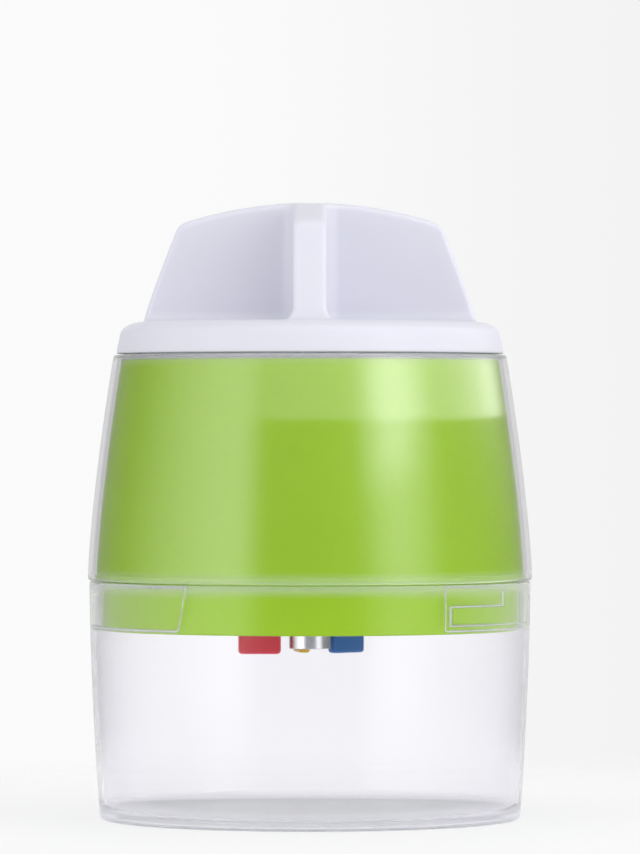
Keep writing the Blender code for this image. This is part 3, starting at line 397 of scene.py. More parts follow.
def clear_plastic(name, colour, side, start, gloss, ior, milky):
    """Clear plastic, tinted and milky along the wall, and milkier by its frost attribute.

    The tint turns from colour to side between start and SIDE_END, where 1 is along the wall.
    """
    material, tree, shader = new_material(name)
    facing = add_node(tree, "LayerWeight").outputs["Facing"]
    along = add_node(tree, "MapRange", Value=facing, From_Min=start, From_Max=SIDE_END)
    tint(shader, along.outputs["Result"], colour, side)
    marks = noise_of(tree, 300.0, 4.0, (1.0, 1.0, 0.2))
    set_sockets(shader, Transmission_Weight=1.0, IOR=ior,
                Roughness=spread(marks, gloss - 0.01, gloss + 0.01))
    ripple(shader, noise_of(tree, 60.0, 1.0), 0.012 * MM, 0.6)
    milk = blend(MILK_THROUGH, *(add_node(tree, kind, Color=FROST_COLOUR).outputs["BSDF"]
                                 for kind in ("BsdfDiffuse", "BsdfTranslucent")))
    frost = add_node(tree, "Attribute")
    frost.attribute_name = "frost"
    share = add_node(tree, "Math", frost.outputs["Fac"], spread(facing, -milky / 8, milky))
    share.use_clamp = True
    whole = blend(share.outputs["Value"], shader.outputs["BSDF"], milk)
    set_sockets(tree.nodes["Material Output"], Surface=whole)
    return material


def frosted(item, share_at):
    """Store the frost attribute, a function of angle in degrees, radius and height."""
    mesh = item.data
    points = np.empty(3 * len(mesh.vertices), dtype=np.float32)
    mesh.vertices.foreach_get("co", points)
    x, y, z = points.reshape(-1, 3).T
    share = share_at(np.degrees(np.arctan2(x, -y)), np.hypot(x, y), z)
    frost = mesh.attributes.new("frost", "FLOAT", "POINT")
    frost.data.foreach_set("value", share.astype(np.float32))
    print(f"{item.name}: frost up to {share.max():.2f}")


CLEAR = clear_plastic("clear_container", (0.965, 0.96, 0.98), (0.965, 0.955, 0.985),
                      start=0.35, gloss=0.05, ior=1.2, milky=0.28)
CLEAR_SHELL = clear_plastic("clear_shell", (0.985, 0.99, 0.985), (0.84, 0.835, 0.89),
                            start=0.62, gloss=0.025, ior=1.35, milky=0.0)
print("clear plastics:", CLEAR.name, CLEAR_SHELL.name)

# %% [markdown]
# ## Steel
#
# The blade and the combs are ground strip steel, the pins and the coring tube are drawn, and the
# screws are plain. Grinding leaves long parallel scratches, so their noise is stretched along the
# direction of the scratches. The scratches change the gloss more than the height.

# %% Steel materials


def steel(name, colour, gloss, stretch, scratch_depth):
    """Steel with scratches stretched along one axis."""
    material, tree, shader = new_material(name)
    scratches = noise_of(tree, 900.0, 3.0, stretch)
    set_sockets(shader, Metallic=1.0, Roughness=spread(scratches, gloss - 0.07, gloss + 0.1))
    tint(shader, noise_of(tree, 120.0), colour, tuple(0.9 * c for c in colour))
    ripple(shader, scratches, scratch_depth, 0.5)
    return material


BLADE = steel("blade_steel", (0.66, 0.67, 0.69), 0.26, (0.06, 1.0, 1.0), 0.004 * MM)
TUBE = steel("tube_steel", (0.68, 0.69, 0.71), 0.24, (1.0, 1.0, 0.05), 0.004 * MM)
PIN = steel("pin_steel", (0.70, 0.71, 0.73), 0.2, (1.0, 1.0, 0.08), 0.003 * MM)
SCREW = steel("screw_steel", (0.52, 0.52, 0.54), 0.34, (1.0, 1.0, 1.0), 0.006 * MM)
print("steels:", BLADE.name, TUBE.name, PIN.name, SCREW.name)

# %% [markdown]
# ## The container wall and its lock
#
# The container is one clear moulding: a round wall that flares a little towards the rim, a flat
# floor, and ribs inside the rim that are half of a twist lock. Each of the two lock ribs has an
# entry slot from above and a pocket that runs sideways from it. Between them are two plain pads
# with a slanted end, which centre the collar.
#
# A Boolean could cut the entries and pockets, but it leaves shading faults on a smooth clear wall.
# All the ribs lie on a round wall, so the whole inner wall can be one grid whose radius is a
# function of angle and height. Extra grid lines at each edge keep the ribs crisp.

# %% Container sizes and its radius functions
CONTAINER_HEIGHT = 57.0 * MM
RIM_RADIUS = 52.9 * MM
CONTAINER_FLARE = 2.5 * MM
CONTAINER_WALL = 1.4 * MM
CONTAINER_FLOOR = 2.0 * MM
COLLAR_BOTTOM = 45.4 * MM
LOCK_RIB = 1.2 * MM
RIB_LOW = 46.2 * MM
POCKET_LOW = 47.4 * MM
POCKET_HIGH = 51.9 * MM
RIB_TOP = 56.5 * MM
LOCK_ANGLES = (38.4, 82.0)
POCKET_ANGLES = (40.0, 80.4)
ENTRY_ANGLES = (62.0, 80.4)
PAD_ANGLES = (-95.0, -37.0)
PAD_SLANT = 2.5
PAD_SLANT_REACH = 6.0
EDGE = 0.5 * MM
EDGE_ANGLE = 0.6
PAD_EDGE = 0.8 * MM
PAD_EDGE_ANGLE = 1.2
PATTERN_START = -96.0
INNER_WALL_START = 8 * MM
ON_WALL = 1e-6


def container_outer(z):
    """Outer radius R - F (1 - z/H)^1.6, which flares by F up to the rim."""
    return RIM_RADIUS - CONTAINER_FLARE * (1 - z / CONTAINER_HEIGHT) ** 1.6


def container_inner(z):
    """Inner radius, one wall inside the outer one."""
    return container_outer(z) - CONTAINER_WALL


LOCK_RADIUS = container_inner(COLLAR_BOTTOM) - LOCK_RIB


def in_half_turn(angle):
    """An angle in degrees within the first half turn, because everything repeats after it."""
    return np.mod(angle - PATTERN_START, 180.0) + PATTERN_START


def twice(angles):
    """Angles in degrees, and the same ones half a turn on."""
    return np.concatenate([angles, np.add(angles, 180.0)])


def rib_share(angle, z):
    """How much of a rib stands at an angle and a height: the lock less its slots, plus the pad."""
    around = in_half_turn(angle)
    lock = band(around, *LOCK_ANGLES, EDGE_ANGLE) * band(z, RIB_LOW, RIB_TOP, EDGE)
    entry = band(around, *ENTRY_ANGLES, EDGE_ANGLE) * ease(z, POCKET_LOW, EDGE)
    pocket = band(around, *POCKET_ANGLES, EDGE_ANGLE) * band(z, POCKET_LOW, POCKET_HIGH, EDGE)
    slant = PAD_SLANT * (z - RIB_LOW) / (RIB_TOP - RIB_LOW)
    slanted_end = 1 - ease(around - slant, PAD_ANGLES[1], PAD_EDGE_ANGLE)
    pad = ease(around, PAD_ANGLES[0], PAD_EDGE_ANGLE) * slanted_end
    return lock * (1 - np.maximum(entry, pocket)) + pad * band(z, RIB_LOW, RIB_TOP, PAD_EDGE)


print(f"lock ribs stand on a radius of {LOCK_RADIUS / MM:.1f} mm")

# %% Build the container
columns = np.arange(PATTERN_START, PATTERN_START + 360.0, 2.25)
columns = with_edges(columns, twice(PAD_ANGLES), PAD_EDGE_ANGLE)
columns = with_edges(columns, twice([*LOCK_ANGLES, *POCKET_ANGLES, ENTRY_ANGLES[0]]), EDGE_ANGLE)
heights = with_edges(np.linspace(INNER_WALL_START, 55 * MM, 26), [RIB_LOW, RIB_TOP], PAD_EDGE)
heights = with_edges(heights, [RIB_LOW, POCKET_LOW, POCKET_HIGH, RIB_TOP], EDGE)
heights = heights[heights < CONTAINER_HEIGHT - 0.1 * MM]
container_profile = outline(
    (0.0, 0.0, 0.0),
    (container_outer(0.0), 0.0, 1.4 * MM),
    wall(container_outer, 3 * MM, 56 * MM, 24),
    (container_outer(CONTAINER_HEIGHT), CONTAINER_HEIGHT, 0.45 * MM),
    (container_inner(CONTAINER_HEIGHT), CONTAINER_HEIGHT, 0.2 * MM),
    sharp(container_inner(heights), heights)[::-1],
    (container_inner(CONTAINER_FLOOR), CONTAINER_FLOOR, 2.6 * MM),
    (0.0, CONTAINER_FLOOR, 0.0),
)
r, z = container_profile[:, 0, None], container_profile[:, 1, None]
rise = np.clip((z - RIB_LOW) / (RIB_TOP - RIB_LOW), 0.0, 1.0)
from_pad_end = np.abs(in_half_turn(columns) - PAD_ANGLES[1])
angle = columns + PAD_SLANT * rise * np.clip(1 - from_pad_end / PAD_SLANT_REACH, 0.0, 1.0)
on_inner_wall = (z > INNER_WALL_START) & (np.abs(r - container_inner(z)) < ON_WALL)
radius = r + np.where(on_inner_wall, (LOCK_RADIUS - r) * rib_share(angle, z), 0.0)
container_wall = piece("container_wall", [grid(round_points(radius, np.radians(angle), z))],
                       CLEAR, "container", ["container"])
container_wall.visible_shadow = False

# Haze: its share, the height where it starts or ends, and the width over which it does
RIM_HAZE = (0.2, 55.2 * MM, 0.8 * MM)
CLEARER_WALL = (-0.05, 43.0 * MM, 4.0 * MM)
FLOOR_HAZE = (0.14, 2.6 * MM, 1.6 * MM)
FOOT_HAZE = (0.2, 4.2 * MM, 2.0 * MM)
FOOT_HAZE_INSIDE = (46.5 * MM, 3.0 * MM)
RIB_SKIN = 1.2 * MM


def above(z, share, start, width):
    """Haze above a height."""
    return share * ease(z, start, width)


def below(z, share, end, width):
    """Haze below a height."""
    return share * (1 - ease(z, end, width))


def container_frost(angle, r, z):
    """Milky on the rib edges, 4 s (1 - s) of a rib's share s, on the rim, floor and foot."""
    share = np.clip(rib_share(angle, z), 0.0, 1.0)
    on_ribs = (z > INNER_WALL_START) & (r < container_outer(z) - RIB_SKIN)
    edge = np.where(on_ribs, 4.0 * share * (1 - share), 0.0)
    rim = above(z, *RIM_HAZE) + below(z, *CLEARER_WALL)
    foot = below(z, *FOOT_HAZE) * ease(r, *FOOT_HAZE_INSIDE)
    return np.minimum(edge + rim + below(z, *FLOOR_HAZE) + foot, 1.0)


frosted(container_wall, container_frost)

# %% [markdown]
# ## The clear outer shell
#
# The cutter body has a clear shell round a green cup, with a thin air gap between them. From the
# side the gap shows as a pale band along the silhouette. The shell leans inwards as it rises,
# first slowly and then faster, so its wall is a power curve and not a straight cone.

# %% Build the outer shell
BODY_BOTTOM = 57.3 * MM
BODY_TOP = 111.2 * MM
BODY_RADIUS = 53.3 * MM
BODY_TAPER = 6.2 * MM
SHELL_WALL = 1.4 * MM
SHELL_LIP = 0.9 * MM
AIR_GAP = 0.7 * MM
CUP_WALL = 1.0 * MM
CUP_TOP = BODY_TOP - SHELL_LIP - 0.3 * MM


def shell_outer(z):
    """Outer radius R - T s^1.4, where s runs from 0 at the foot to 1 at the mouth."""
    share = np.clip((z - BODY_BOTTOM) / (BODY_TOP - BODY_BOTTOM), 0.0, 1.0)
    return BODY_RADIUS - BODY_TAPER * share ** 1.4


def shell_inner(z):
    """Inner radius of the shell."""
    return shell_outer(z) - SHELL_WALL


def cup_outer(z):
    """Outer radius of the cup, across the air gap."""
    return shell_inner(z) - AIR_GAP


def cup_inner(z):
    """Radius of the feed chamber."""
    return cup_outer(z) - CUP_WALL


LIP_RADIUS = cup_inner(CUP_TOP)
shell_profile = outline(
    (shell_inner(BODY_BOTTOM), BODY_BOTTOM, 0.2 * MM),
    (shell_outer(BODY_BOTTOM), BODY_BOTTOM, 1.5 * MM),
    wall(shell_outer, BODY_BOTTOM + 3.2 * MM, BODY_TOP - 1.3 * MM, 30),
    (shell_outer(BODY_TOP), BODY_TOP, 0.6 * MM),
    (LIP_RADIUS, BODY_TOP, 0.3 * MM),
    (LIP_RADIUS, BODY_TOP - SHELL_LIP, 0.2 * MM),
    (shell_inner(BODY_TOP - SHELL_LIP), BODY_TOP - SHELL_LIP, 0.2 * MM),
    wall(shell_inner, BODY_TOP - 1.6 * MM, BODY_BOTTOM + 0.8 * MM, 30),
)
shell_wall = piece("shell_wall", [turned(shell_profile, 192)], CLEAR_SHELL,
                   "cutter", ["outer_shell"])
shell_wall.visible_shadow = False
LIP_HAZE = (0.3, BODY_TOP - 1.2 * MM, 1.0 * MM)
SHELL_FOOT_HAZE = (0.2, BODY_BOTTOM + 0.8 * MM, 1.0 * MM)


def shell_frost(angle, r, z):
    """Milky along the lip and along the foot, the same all round."""
    return above(z, *LIP_HAZE) + below(z, *SHELL_FOOT_HAZE)


frosted(shell_wall, shell_frost)

# %% [markdown]
# ## The green cup
#
# The cup is the feed chamber. Below it is the collar that drops into the container, with two lugs
# that turn under the lock ribs, and inside is the ledge with four screw bosses for the blade
# plate. The collar is a round wall with a lug standing on it, so it is again one grid whose radius
# depends on angle and height. The bosses are plain turned posts.

# %% Build the cup and its bosses
COLLAR_RADIUS = LOCK_RADIUS - 0.3 * MM
COLLAR_INNER = COLLAR_RADIUS - 1.5 * MM
LUG_RADIUS = container_inner(COLLAR_BOTTOM) - 0.3 * MM
LUG_ANGLES = (40.7, 57.7)
LUG_HEIGHTS = (47.7 * MM, 51.6 * MM)
LEDGE_BOTTOM = 56.2 * MM
LEDGE_TOP = 58.2 * MM
LEDGE_INNER = COLLAR_INNER - 3.6 * MM
FLANGE_TOP = BODY_BOTTOM + 1.5 * MM

heights = with_edges(np.linspace(46.2 * MM, 56.8 * MM, 10), LUG_HEIGHTS, EDGE)
cup_profile = outline(
    (LEDGE_INNER, LEDGE_BOTTOM, 0.2 * MM),
    (COLLAR_INNER, LEDGE_BOTTOM, 0.2 * MM),
    (COLLAR_INNER, COLLAR_BOTTOM, 0.4 * MM),
    (COLLAR_RADIUS, COLLAR_BOTTOM, 0.5 * MM),
    sharp(COLLAR_RADIUS, heights),
    (COLLAR_RADIUS, BODY_BOTTOM, 0.2 * MM),
    (shell_inner(FLANGE_TOP) - 0.3 * MM, BODY_BOTTOM, 0.3 * MM),
    (shell_inner(FLANGE_TOP) - 0.3 * MM, FLANGE_TOP, 0.3 * MM),
    (cup_outer(FLANGE_TOP), FLANGE_TOP, 0.3 * MM),
    wall(cup_outer, FLANGE_TOP + 0.8 * MM, CUP_TOP - 0.8 * MM, 30),
    (cup_outer(CUP_TOP), CUP_TOP, 0.3 * MM),
    (cup_inner(CUP_TOP), CUP_TOP, 0.4 * MM),
    wall(cup_inner, CUP_TOP - 1.0 * MM, LEDGE_TOP + 3.0 * MM, 24),
    (cup_inner(LEDGE_TOP), LEDGE_TOP, 1.2 * MM),
    (LEDGE_INNER, LEDGE_TOP, 0.3 * MM),
)
columns = with_edges(np.arange(-90.0, 270.0, 2.0), twice(LUG_ANGLES), EDGE_ANGLE)
r, z = cup_profile[:, 0, None], cup_profile[:, 1, None]
lug = band(np.mod(columns, 180.0), *LUG_ANGLES, EDGE_ANGLE) * band(z, *LUG_HEIGHTS, EDGE)
on_collar = np.abs(r - COLLAR_RADIUS) < ON_WALL
radius = r + np.where(on_collar, (LUG_RADIUS - COLLAR_RADIUS) * lug, 0.0)
piece("cup_wall", [grid(round_points(radius, np.radians(columns), z), wrap_rows=True)], GREEN,
      "cutter", ["cutter_cup"])

PLATE_SCREW_CIRCLE = COLLAR_INNER - 2.7 * MM
DIAGONALS = (45.0, 135.0, 225.0, 315.0)
BOSS_RADIUS = 2.4 * MM
BOSS_BOTTOM = LEDGE_BOTTOM + 0.3 * MM
BOSS_TOP = 63.2 * MM
boss_profile = outline((0.0, BOSS_BOTTOM, 0.0), (BOSS_RADIUS, BOSS_BOTTOM, 0.0),
                       (BOSS_RADIUS, BOSS_TOP, 0.5 * MM), (0.0, BOSS_TOP, 0.0))
piece("cup_bosses", ring_of(turn_points(boss_profile, 32), PLATE_SCREW_CIRCLE, DIAGONALS), GREEN,
      "cutter")

# %% [markdown]
# ## The blade plate and its cutters
#
# The blade plate, the flat blade, the comb teeth, the comb guide and the prong plate are flat
# pieces with cut openings. The CAD solids already have their true shape, and flat faces need no
# finer mesh, so these nodes stay and only get their finish.

# %% Finish the flat CAD nodes
CAD_FINISHES = {
    "blade_plate": PLATE_GREEN,
    "flat_blade": BLADE,
    "red_comb_teeth": BLADE,
    "yellow_comb_teeth": BLADE,
    "blue_comb_teeth": BLADE,
    "comb_guide": PALE,
    "prong_plate": PALE,
}
for name, material in CAD_FINISHES.items():
    NODES[name].data.materials.clear()
    NODES[name].data.materials.append(material)
print("finished as they are:", ", ".join(CAD_FINISHES))

# %% [markdown]
# ## The coring tube
#
# A thin steel tube takes the core out of the vegetable. Its upper edge is ground to a bevel on the
# outside, and a small flange rests on the blade plate. It is a turned ring.

# %% Build the coring tube
PLATE_BOTTOM = 53.6 * MM
CORE_RADIUS = 5.0 * MM
CORE_BORE = 4.4 * MM
CORE_TOP = 62.9 * MM
CORE_BOTTOM = 40.8 * MM
CORE_FLANGE = (56.2 * MM, 56.8 * MM)
CORE_FLANGE_RADIUS = 6.4 * MM
tube_profile = outline(
    (CORE_BORE, CORE_BOTTOM, 0.1 * MM),
    (CORE_RADIUS, CORE_BOTTOM, 0.15 * MM),
    (CORE_RADIUS, CORE_FLANGE[0], 0.1 * MM),
    (CORE_FLANGE_RADIUS, CORE_FLANGE[0], 0.1 * MM),
    (CORE_FLANGE_RADIUS, CORE_FLANGE[1], 0.2 * MM),
    (CORE_RADIUS, CORE_FLANGE[1], 0.3 * MM),
    (CORE_RADIUS, CORE_TOP - 1.6 * MM, 0.1 * MM),
    (CORE_BORE + 0.06 * MM, CORE_TOP, 0.0),
    (CORE_BORE, CORE_TOP, 0.0),
)
piece("core_cutter", [turned(tube_profile, 72)], TUBE, "cutter", ["coring_tube"])

# %% [markdown]
# ## Comb slides with finger tabs
#
# Each comb sits in a coloured slide that is pushed up from below by its tab. The tab is a stack of
# rounded rectangles, one for each height: the rectangle gets shorter round the lower corners, and
# thinner at the grip grooves. A stack like this gives rounded corners, soft edges and grooves in
# one surface, with no Boolean.

# %% Build the comb slides
SLIDE_START = 6.8 * MM
SLIDE_END = 29.2 * MM
SLIDE_THICKNESS = 3.8 * MM
HEAD_LOW = 47.4 * MM
TAB_START = 7.0 * MM
TAB_END = 17.2 * MM
TAB_THICKNESS = 2.4 * MM
TAB_BOTTOM = 39.5 * MM
TAB_ROUND = 0.9 * MM
TAB_EDGE = 0.5 * MM
GROOVES = (40.9 * MM, 42.2 * MM, 43.5 * MM)
GROOVE_INSET = 1.4 * MM
GROOVE_DEPTH = 0.3 * MM
GROOVE_WIDTH = 0.25 * MM


def rounded_rings(half_x, half_y, z, corner):
    """A stack of rounded rectangles. Each ring is four quarter circles round the corner centres."""
    quarter = np.linspace(0.0, math.pi / 2, 7)
    angle = (quarter + np.arange(4)[:, None] * math.pi / 2).ravel()
    side_x = np.repeat([1.0, -1.0, -1.0, 1.0], len(quarter))
    side_y = np.repeat([1.0, 1.0, -1.0, -1.0], len(quarter))
    corner = np.minimum(corner, 0.999 * np.minimum(half_x, half_y))[:, None]
    x = (half_x[:, None] - corner) * side_x + corner * np.cos(angle)
    y = (half_y[:, None] - corner) * side_y + corner * np.sin(angle)
    return np.stack([x, y, np.broadcast_to(z[:, None], x.shape)], axis=-1)


def ends(points):
    """Caps for the first and last rows of a grid."""
    rows, columns = points.shape[:2]
    return [range(columns), range((rows - 1) * columns, rows * columns)]


def quarter_inset(distance, round_radius):
    """How far a quarter circle draws a side in, d from its end: R - sqrt(R^2 - (R - d)^2)."""
    left = np.clip(round_radius - distance, 0.0, round_radius)
    return round_radius - np.sqrt(round_radius ** 2 - left ** 2)


low_end = TAB_ROUND * (1 - np.cos(np.linspace(0.0, math.pi / 2, 10)))
upper = np.linspace(TAB_BOTTOM + TAB_ROUND, HEAD_LOW + 0.4 * MM, 50)
z = np.unique(np.concatenate([TAB_BOTTOM + low_end, upper]))
half_x = (TAB_END - TAB_START) / 2 - quarter_inset(z - TAB_BOTTOM, TAB_ROUND)
half_y = TAB_THICKNESS / 2 - quarter_inset(z - TAB_BOTTOM, TAB_EDGE)
groove = sum(np.exp(-((z - place) / GROOVE_WIDTH) ** 2) for place in GROOVES)
tab_points = rounded_rings(half_x, half_y, z, TAB_EDGE)
grip = half_x.max() - GROOVE_INSET
gripped = band(tab_points[..., 0], -grip, grip, 0.6 * MM)
tab_points[..., 1] -= np.sign(tab_points[..., 1]) * GROOVE_DEPTH * groove[:, None] * gripped

head_z = np.array([0.0, 0.1, 0.3, 2.3, 2.5, 2.6]) * MM
head_inset = np.array([0.3, 0.1, 0.0, 0.0, 0.1, 0.3]) * MM
head_points = rounded_rings((SLIDE_END - SLIDE_START) / 2 - head_inset,
                            SLIDE_THICKNESS / 2 - head_inset, HEAD_LOW + head_z, 0.4 * MM)
COMB_ANGLES = {"yellow": 100.0, "red": 180.0, "blue": 44.0}
for (colour, angle), material in zip(COMB_ANGLES.items(), (YELLOW, RED, BLUE)):
    tab = shifted(tab_points, x=(TAB_START + TAB_END) / 2, turn=angle)
    head = shifted(head_points, x=(SLIDE_START + SLIDE_END) / 2, turn=angle)
    piece(f"{colour}_slide", [grid(points, caps=ends(points)) for points in (tab, head)],
          material, f"{colour}_comb", [f"{colour}_comb_slide"])

# %% [markdown]
# ## Screws and rivets
#
# The screws have pan heads with a cross recess. The head is a turned grid, and the recess lowers
# its points where they fall inside a cross: |x| or |y| under half the slot's width. The rivets that
# hold the blade have low domed heads, square to the tilted blade.

# %% Build the screws and rivets
HEAD_RADIUS = 2.1 * MM
SHANK_RADIUS = 1.0 * MM
HEAD_HEIGHT = 1.3 * MM
HEAD_ROUND = 0.45 * MM
HEAD_CROWN = 0.15 * MM
CROSS_HALF = 0.32 * MM
CROSS_REACH = 1.15 * MM
CROSS_DEPTH = 0.7 * MM
BLADE_TILT = math.radians(6.0)
BLADE_CORNER = np.array([6.7, -12.826, 55.9]) * MM


def screw_points(head_top, tip):
    """Grid of a screw with its head below: across the head's face, up its side and up the shank."""
    length = tip - head_top + HEAD_HEIGHT
    face = np.linspace(0.0, HEAD_RADIUS - HEAD_ROUND, 22)
    crown = HEAD_CROWN * (face / HEAD_RADIUS) ** 2
    rim = outline((0.0, 0.0, 0.0), (HEAD_RADIUS, 0.0, HEAD_ROUND),
                  (HEAD_RADIUS, HEAD_HEIGHT, 0.1 * MM), (SHANK_RADIUS, HEAD_HEIGHT, 0.0),
                  (SHANK_RADIUS, length - 0.8 * MM, 0.0), (0.0, length, 0.0))[1:]
    rim = rim + [0.0, 0.12 * MM] * (rim[:, 1:] < 0.3 * MM)
    profile = np.vstack([np.column_stack([face, crown]), rim])
    points = turn_points(profile, 48)
    x, y = np.abs(points[..., 0]), np.abs(points[..., 1])
    in_arm = 1 - ease(np.minimum(x, y), CROSS_HALF, 0.15 * MM)
    in_reach = 1 - ease(np.maximum(x, y), CROSS_REACH, 0.25 * MM)
    on_face = (np.arange(len(profile)) < len(face))[:, None]
    points[..., 2] += CROSS_DEPTH * (in_arm * in_reach) * on_face + head_top - HEAD_HEIGHT
    return points


def screw_set(name, circle, angles, head_top, tip, body, nodes):
    """A ring of equal screws, as one piece."""
    piece(name, ring_of(screw_points(head_top, tip), circle, angles), SCREW, body,
          nodes)


screw_set("plate_screw_set", PLATE_SCREW_CIRCLE, DIAGONALS, PLATE_BOTTOM - 0.3 * MM, 62.6 * MM,
          "cutter", [f"plate_screw_{k}" for k in range(1, 5)])
screw_set("guide_screw_set", 33.1 * MM, COMB_ANGLES.values(), 51.6 * MM, 54.9 * MM,
          "cutter", [f"guide_screw_{k}" for k in range(1, 4)])

RIVET_PLACES = np.array([[5.5, 4.2, 0.3], [19.5, 4.2, 0.3]]) * MM
rivet_profile = outline((0.0, 0.9 * MM, 0.0), (1.7 * MM, 0.9 * MM, 0.1 * MM),
                        (1.7 * MM, 1.1 * MM, 0.1 * MM), (1.1 * MM, 1.4 * MM, 0.4 * MM),
                        (0.0, 1.4 * MM, 0.0))
rivet_points = turn_points(rivet_profile, 40)
c, s = math.cos(BLADE_TILT), math.sin(BLADE_TILT)
tilt = np.array([[1.0, 0.0, 0.0], [0.0, c, s], [0.0, -s, c]])
rivets = [grid((rivet_points + place) @ tilt + BLADE_CORNER) for place in RIVET_PLACES]
piece("rivet_heads", rivets, SCREW, "cutter", ["blade_rivet_1", "blade_rivet_2"])

# %% [markdown]
# ## The food holder
#
# The holder is one white moulding: a skirt that fits inside the cup, a flange that rests on the
# body, a low crown, and two crossed fins that the hand twists. The round part is turned. The fins
# can't be turned, so they are a stack of plus-shaped rings. Each ring is drawn in as it rises, its
# foot flares out in a quarter circle that runs into the crown, and its top follows a shallow dome.
# The underside is plain here: its screw bosses and the spike's bore are in the CAD only.

# %% Build the turned part of the holder
FLANGE_BOTTOM = 111.5 * MM
FLANGE_RADIUS = 46.5 * MM
FLANGE_TOP_RADIUS = 45.3 * MM
FLANGE_HEIGHT = 5.8 * MM
CROWN_RADIUS = 41.7 * MM
HOLDER_FLOOR = FLANGE_BOTTOM + 7.6 * MM
HOLDER_CEILING = FLANGE_BOTTOM + 5.6 * MM
SKIRT_RADIUS = LIP_RADIUS - 0.35 * MM
SKIRT_FOOT_RADIUS = SKIRT_RADIUS - 0.4 * MM
SKIRT_INNER = SKIRT_FOOT_RADIUS - 1.5 * MM
SKIRT_BOTTOM = FLANGE_BOTTOM - 9.0 * MM
holder_profile = outline(
    (0.0, HOLDER_CEILING, 0.0),
    (SKIRT_INNER, HOLDER_CEILING, 0.8 * MM),
    (SKIRT_INNER, SKIRT_BOTTOM, 0.4 * MM),
    (SKIRT_FOOT_RADIUS, SKIRT_BOTTOM, 0.6 * MM),
    (SKIRT_RADIUS, FLANGE_BOTTOM, 0.3 * MM),
    (FLANGE_RADIUS, FLANGE_BOTTOM, 0.5 * MM),
    (FLANGE_TOP_RADIUS, FLANGE_BOTTOM + FLANGE_HEIGHT, 1.1 * MM),
    (CROWN_RADIUS + 1.2 * MM, HOLDER_FLOOR - 0.35 * MM, 1.0 * MM),
    (CROWN_RADIUS - 1.0 * MM, HOLDER_FLOOR, 0.8 * MM),
    (0.0, HOLDER_FLOOR, 0.0),
)
holder_body = turned(holder_profile, 192, closed=False)

# %% Build the crossed fins
FIN_REACH = 39.8 * MM
FIN_TAPER = 8.4 * MM
FIN_BULGE = 0.65 * MM
FIN_HALF = 3.95 * MM
FIN_APEX = 28.6 * MM
FIN_ARC = 97.0 * MM
FIN_SHOULDER = FIN_REACH - FIN_TAPER
FIN_RISE = FIN_APEX - FIN_ARC + math.sqrt(FIN_ARC ** 2 - FIN_SHOULDER ** 2)
FIN_FOOT = 2.8 * MM
FIN_EDGE = 1.5 * MM
FIN_END = 1.2 * MM
FIN_CORNER = 3.4 * MM
ARC_POINTS = 9
LINE_POINTS = 14


def fin_top(radius):
    """Height of the dome: apex - (R - sqrt(R^2 - r^2))."""
    return FIN_APEX - FIN_ARC + np.sqrt(FIN_ARC ** 2 - radius ** 2)


def fin_reach(height):
    """Reach of a fin: a straight taper plus a parabola that bulges by FIN_BULGE halfway up."""
    share = np.clip(height / FIN_RISE, 0.0, 1.0)
    return FIN_REACH - FIN_TAPER * share + FIN_BULGE * 4 * share * (1 - share)


def cross_rings(reach, half, corner, end):
    """Plus-shaped rings, one row each.

    A quarter of a ring is a concave corner arc, a side, two end arcs and the side back.
    """
    reach, half, corner = reach[:, None], half[:, None], corner[:, None]
    arc = np.linspace(0.0, math.pi / 2, ARC_POINTS)
    line = np.linspace(0.0, 1.0, LINE_POINTS)[:-1]
    start = half + corner
    length = reach - end - start
    inner = arc[1:-1]
    x = np.concatenate([start - corner * np.cos(inner), start + length * line,
                        reach - end + end * np.sin(arc), reach - end + end * np.cos(arc),
                        start + length * line[::-1]], axis=1)
    y = np.concatenate([-start + corner * np.sin(inner), -half + 0 * line,
                        -half + end - end * np.cos(arc), half - end + end * np.sin(arc),
                        half + 0 * line], axis=1)
    return np.concatenate([x, -y, -x, y], axis=1), np.concatenate([y, x, -y, -x], axis=1)


foot = np.linspace(0.0, math.pi / 2, 9)
edge = np.linspace(0.0, math.pi / 2, 9)[1:]
shares = np.linspace(0.0, 1.0, 14)[1:]
flare = np.concatenate([[FIN_FOOT], FIN_FOOT * (1 - np.sin(foot)), 0 * shares, 0 * edge])
inward = np.concatenate([[0.0], 0 * foot, 0 * shares, FIN_EDGE * (1 - np.cos(edge))])
share = np.concatenate([[0.0], 0 * foot, shares, 1 + 0 * edge])
base = np.concatenate([[-0.5 * MM], FIN_FOOT * (1 - np.cos(foot)), FIN_FOOT + 0 * shares,
                       FIN_FOOT + FIN_EDGE * np.sin(edge)])
shoulder_wall = fin_top(FIN_SHOULDER) - FIN_EDGE - FIN_FOOT
reach = fin_reach(base + share * shoulder_wall) - inward
x, y = cross_rings(reach, FIN_HALF + flare - inward, FIN_CORNER - flare + inward, FIN_END)
straight = fin_top(np.hypot(x, y)) - FIN_EDGE - FIN_FOOT
fin_points = np.stack([x, y, HOLDER_FLOOR + base[:, None] + share[:, None] * straight], axis=-1)

# The dome closes with one strip of faces along each fin and one face in the middle.
per_fin = fin_points.shape[1] // 4
last = fin_points.shape[1] * (len(fin_points) - 1)
corner_count = ARC_POINTS - 2
side_count = per_fin - corner_count
step = np.arange(side_count // 2 - 1)
fin_start = last + per_fin * np.arange(4)[:, None] + corner_count
fin_end = fin_start + side_count - 1
strips = np.stack([fin_start + step, fin_start + step + 1, fin_end - 1 - step, fin_end - step],
                  axis=-1).reshape(-1, 4)
corners = fin_start + np.arange(-corner_count, 1)
middle = np.concatenate([corners, fin_end], axis=1).ravel()
fins = grid(fin_points, caps=[*strips, middle, ends(fin_points)[0]])
piece("holder_moulding", [holder_body, fins], WHITE, "holder", ["holder_grip"])

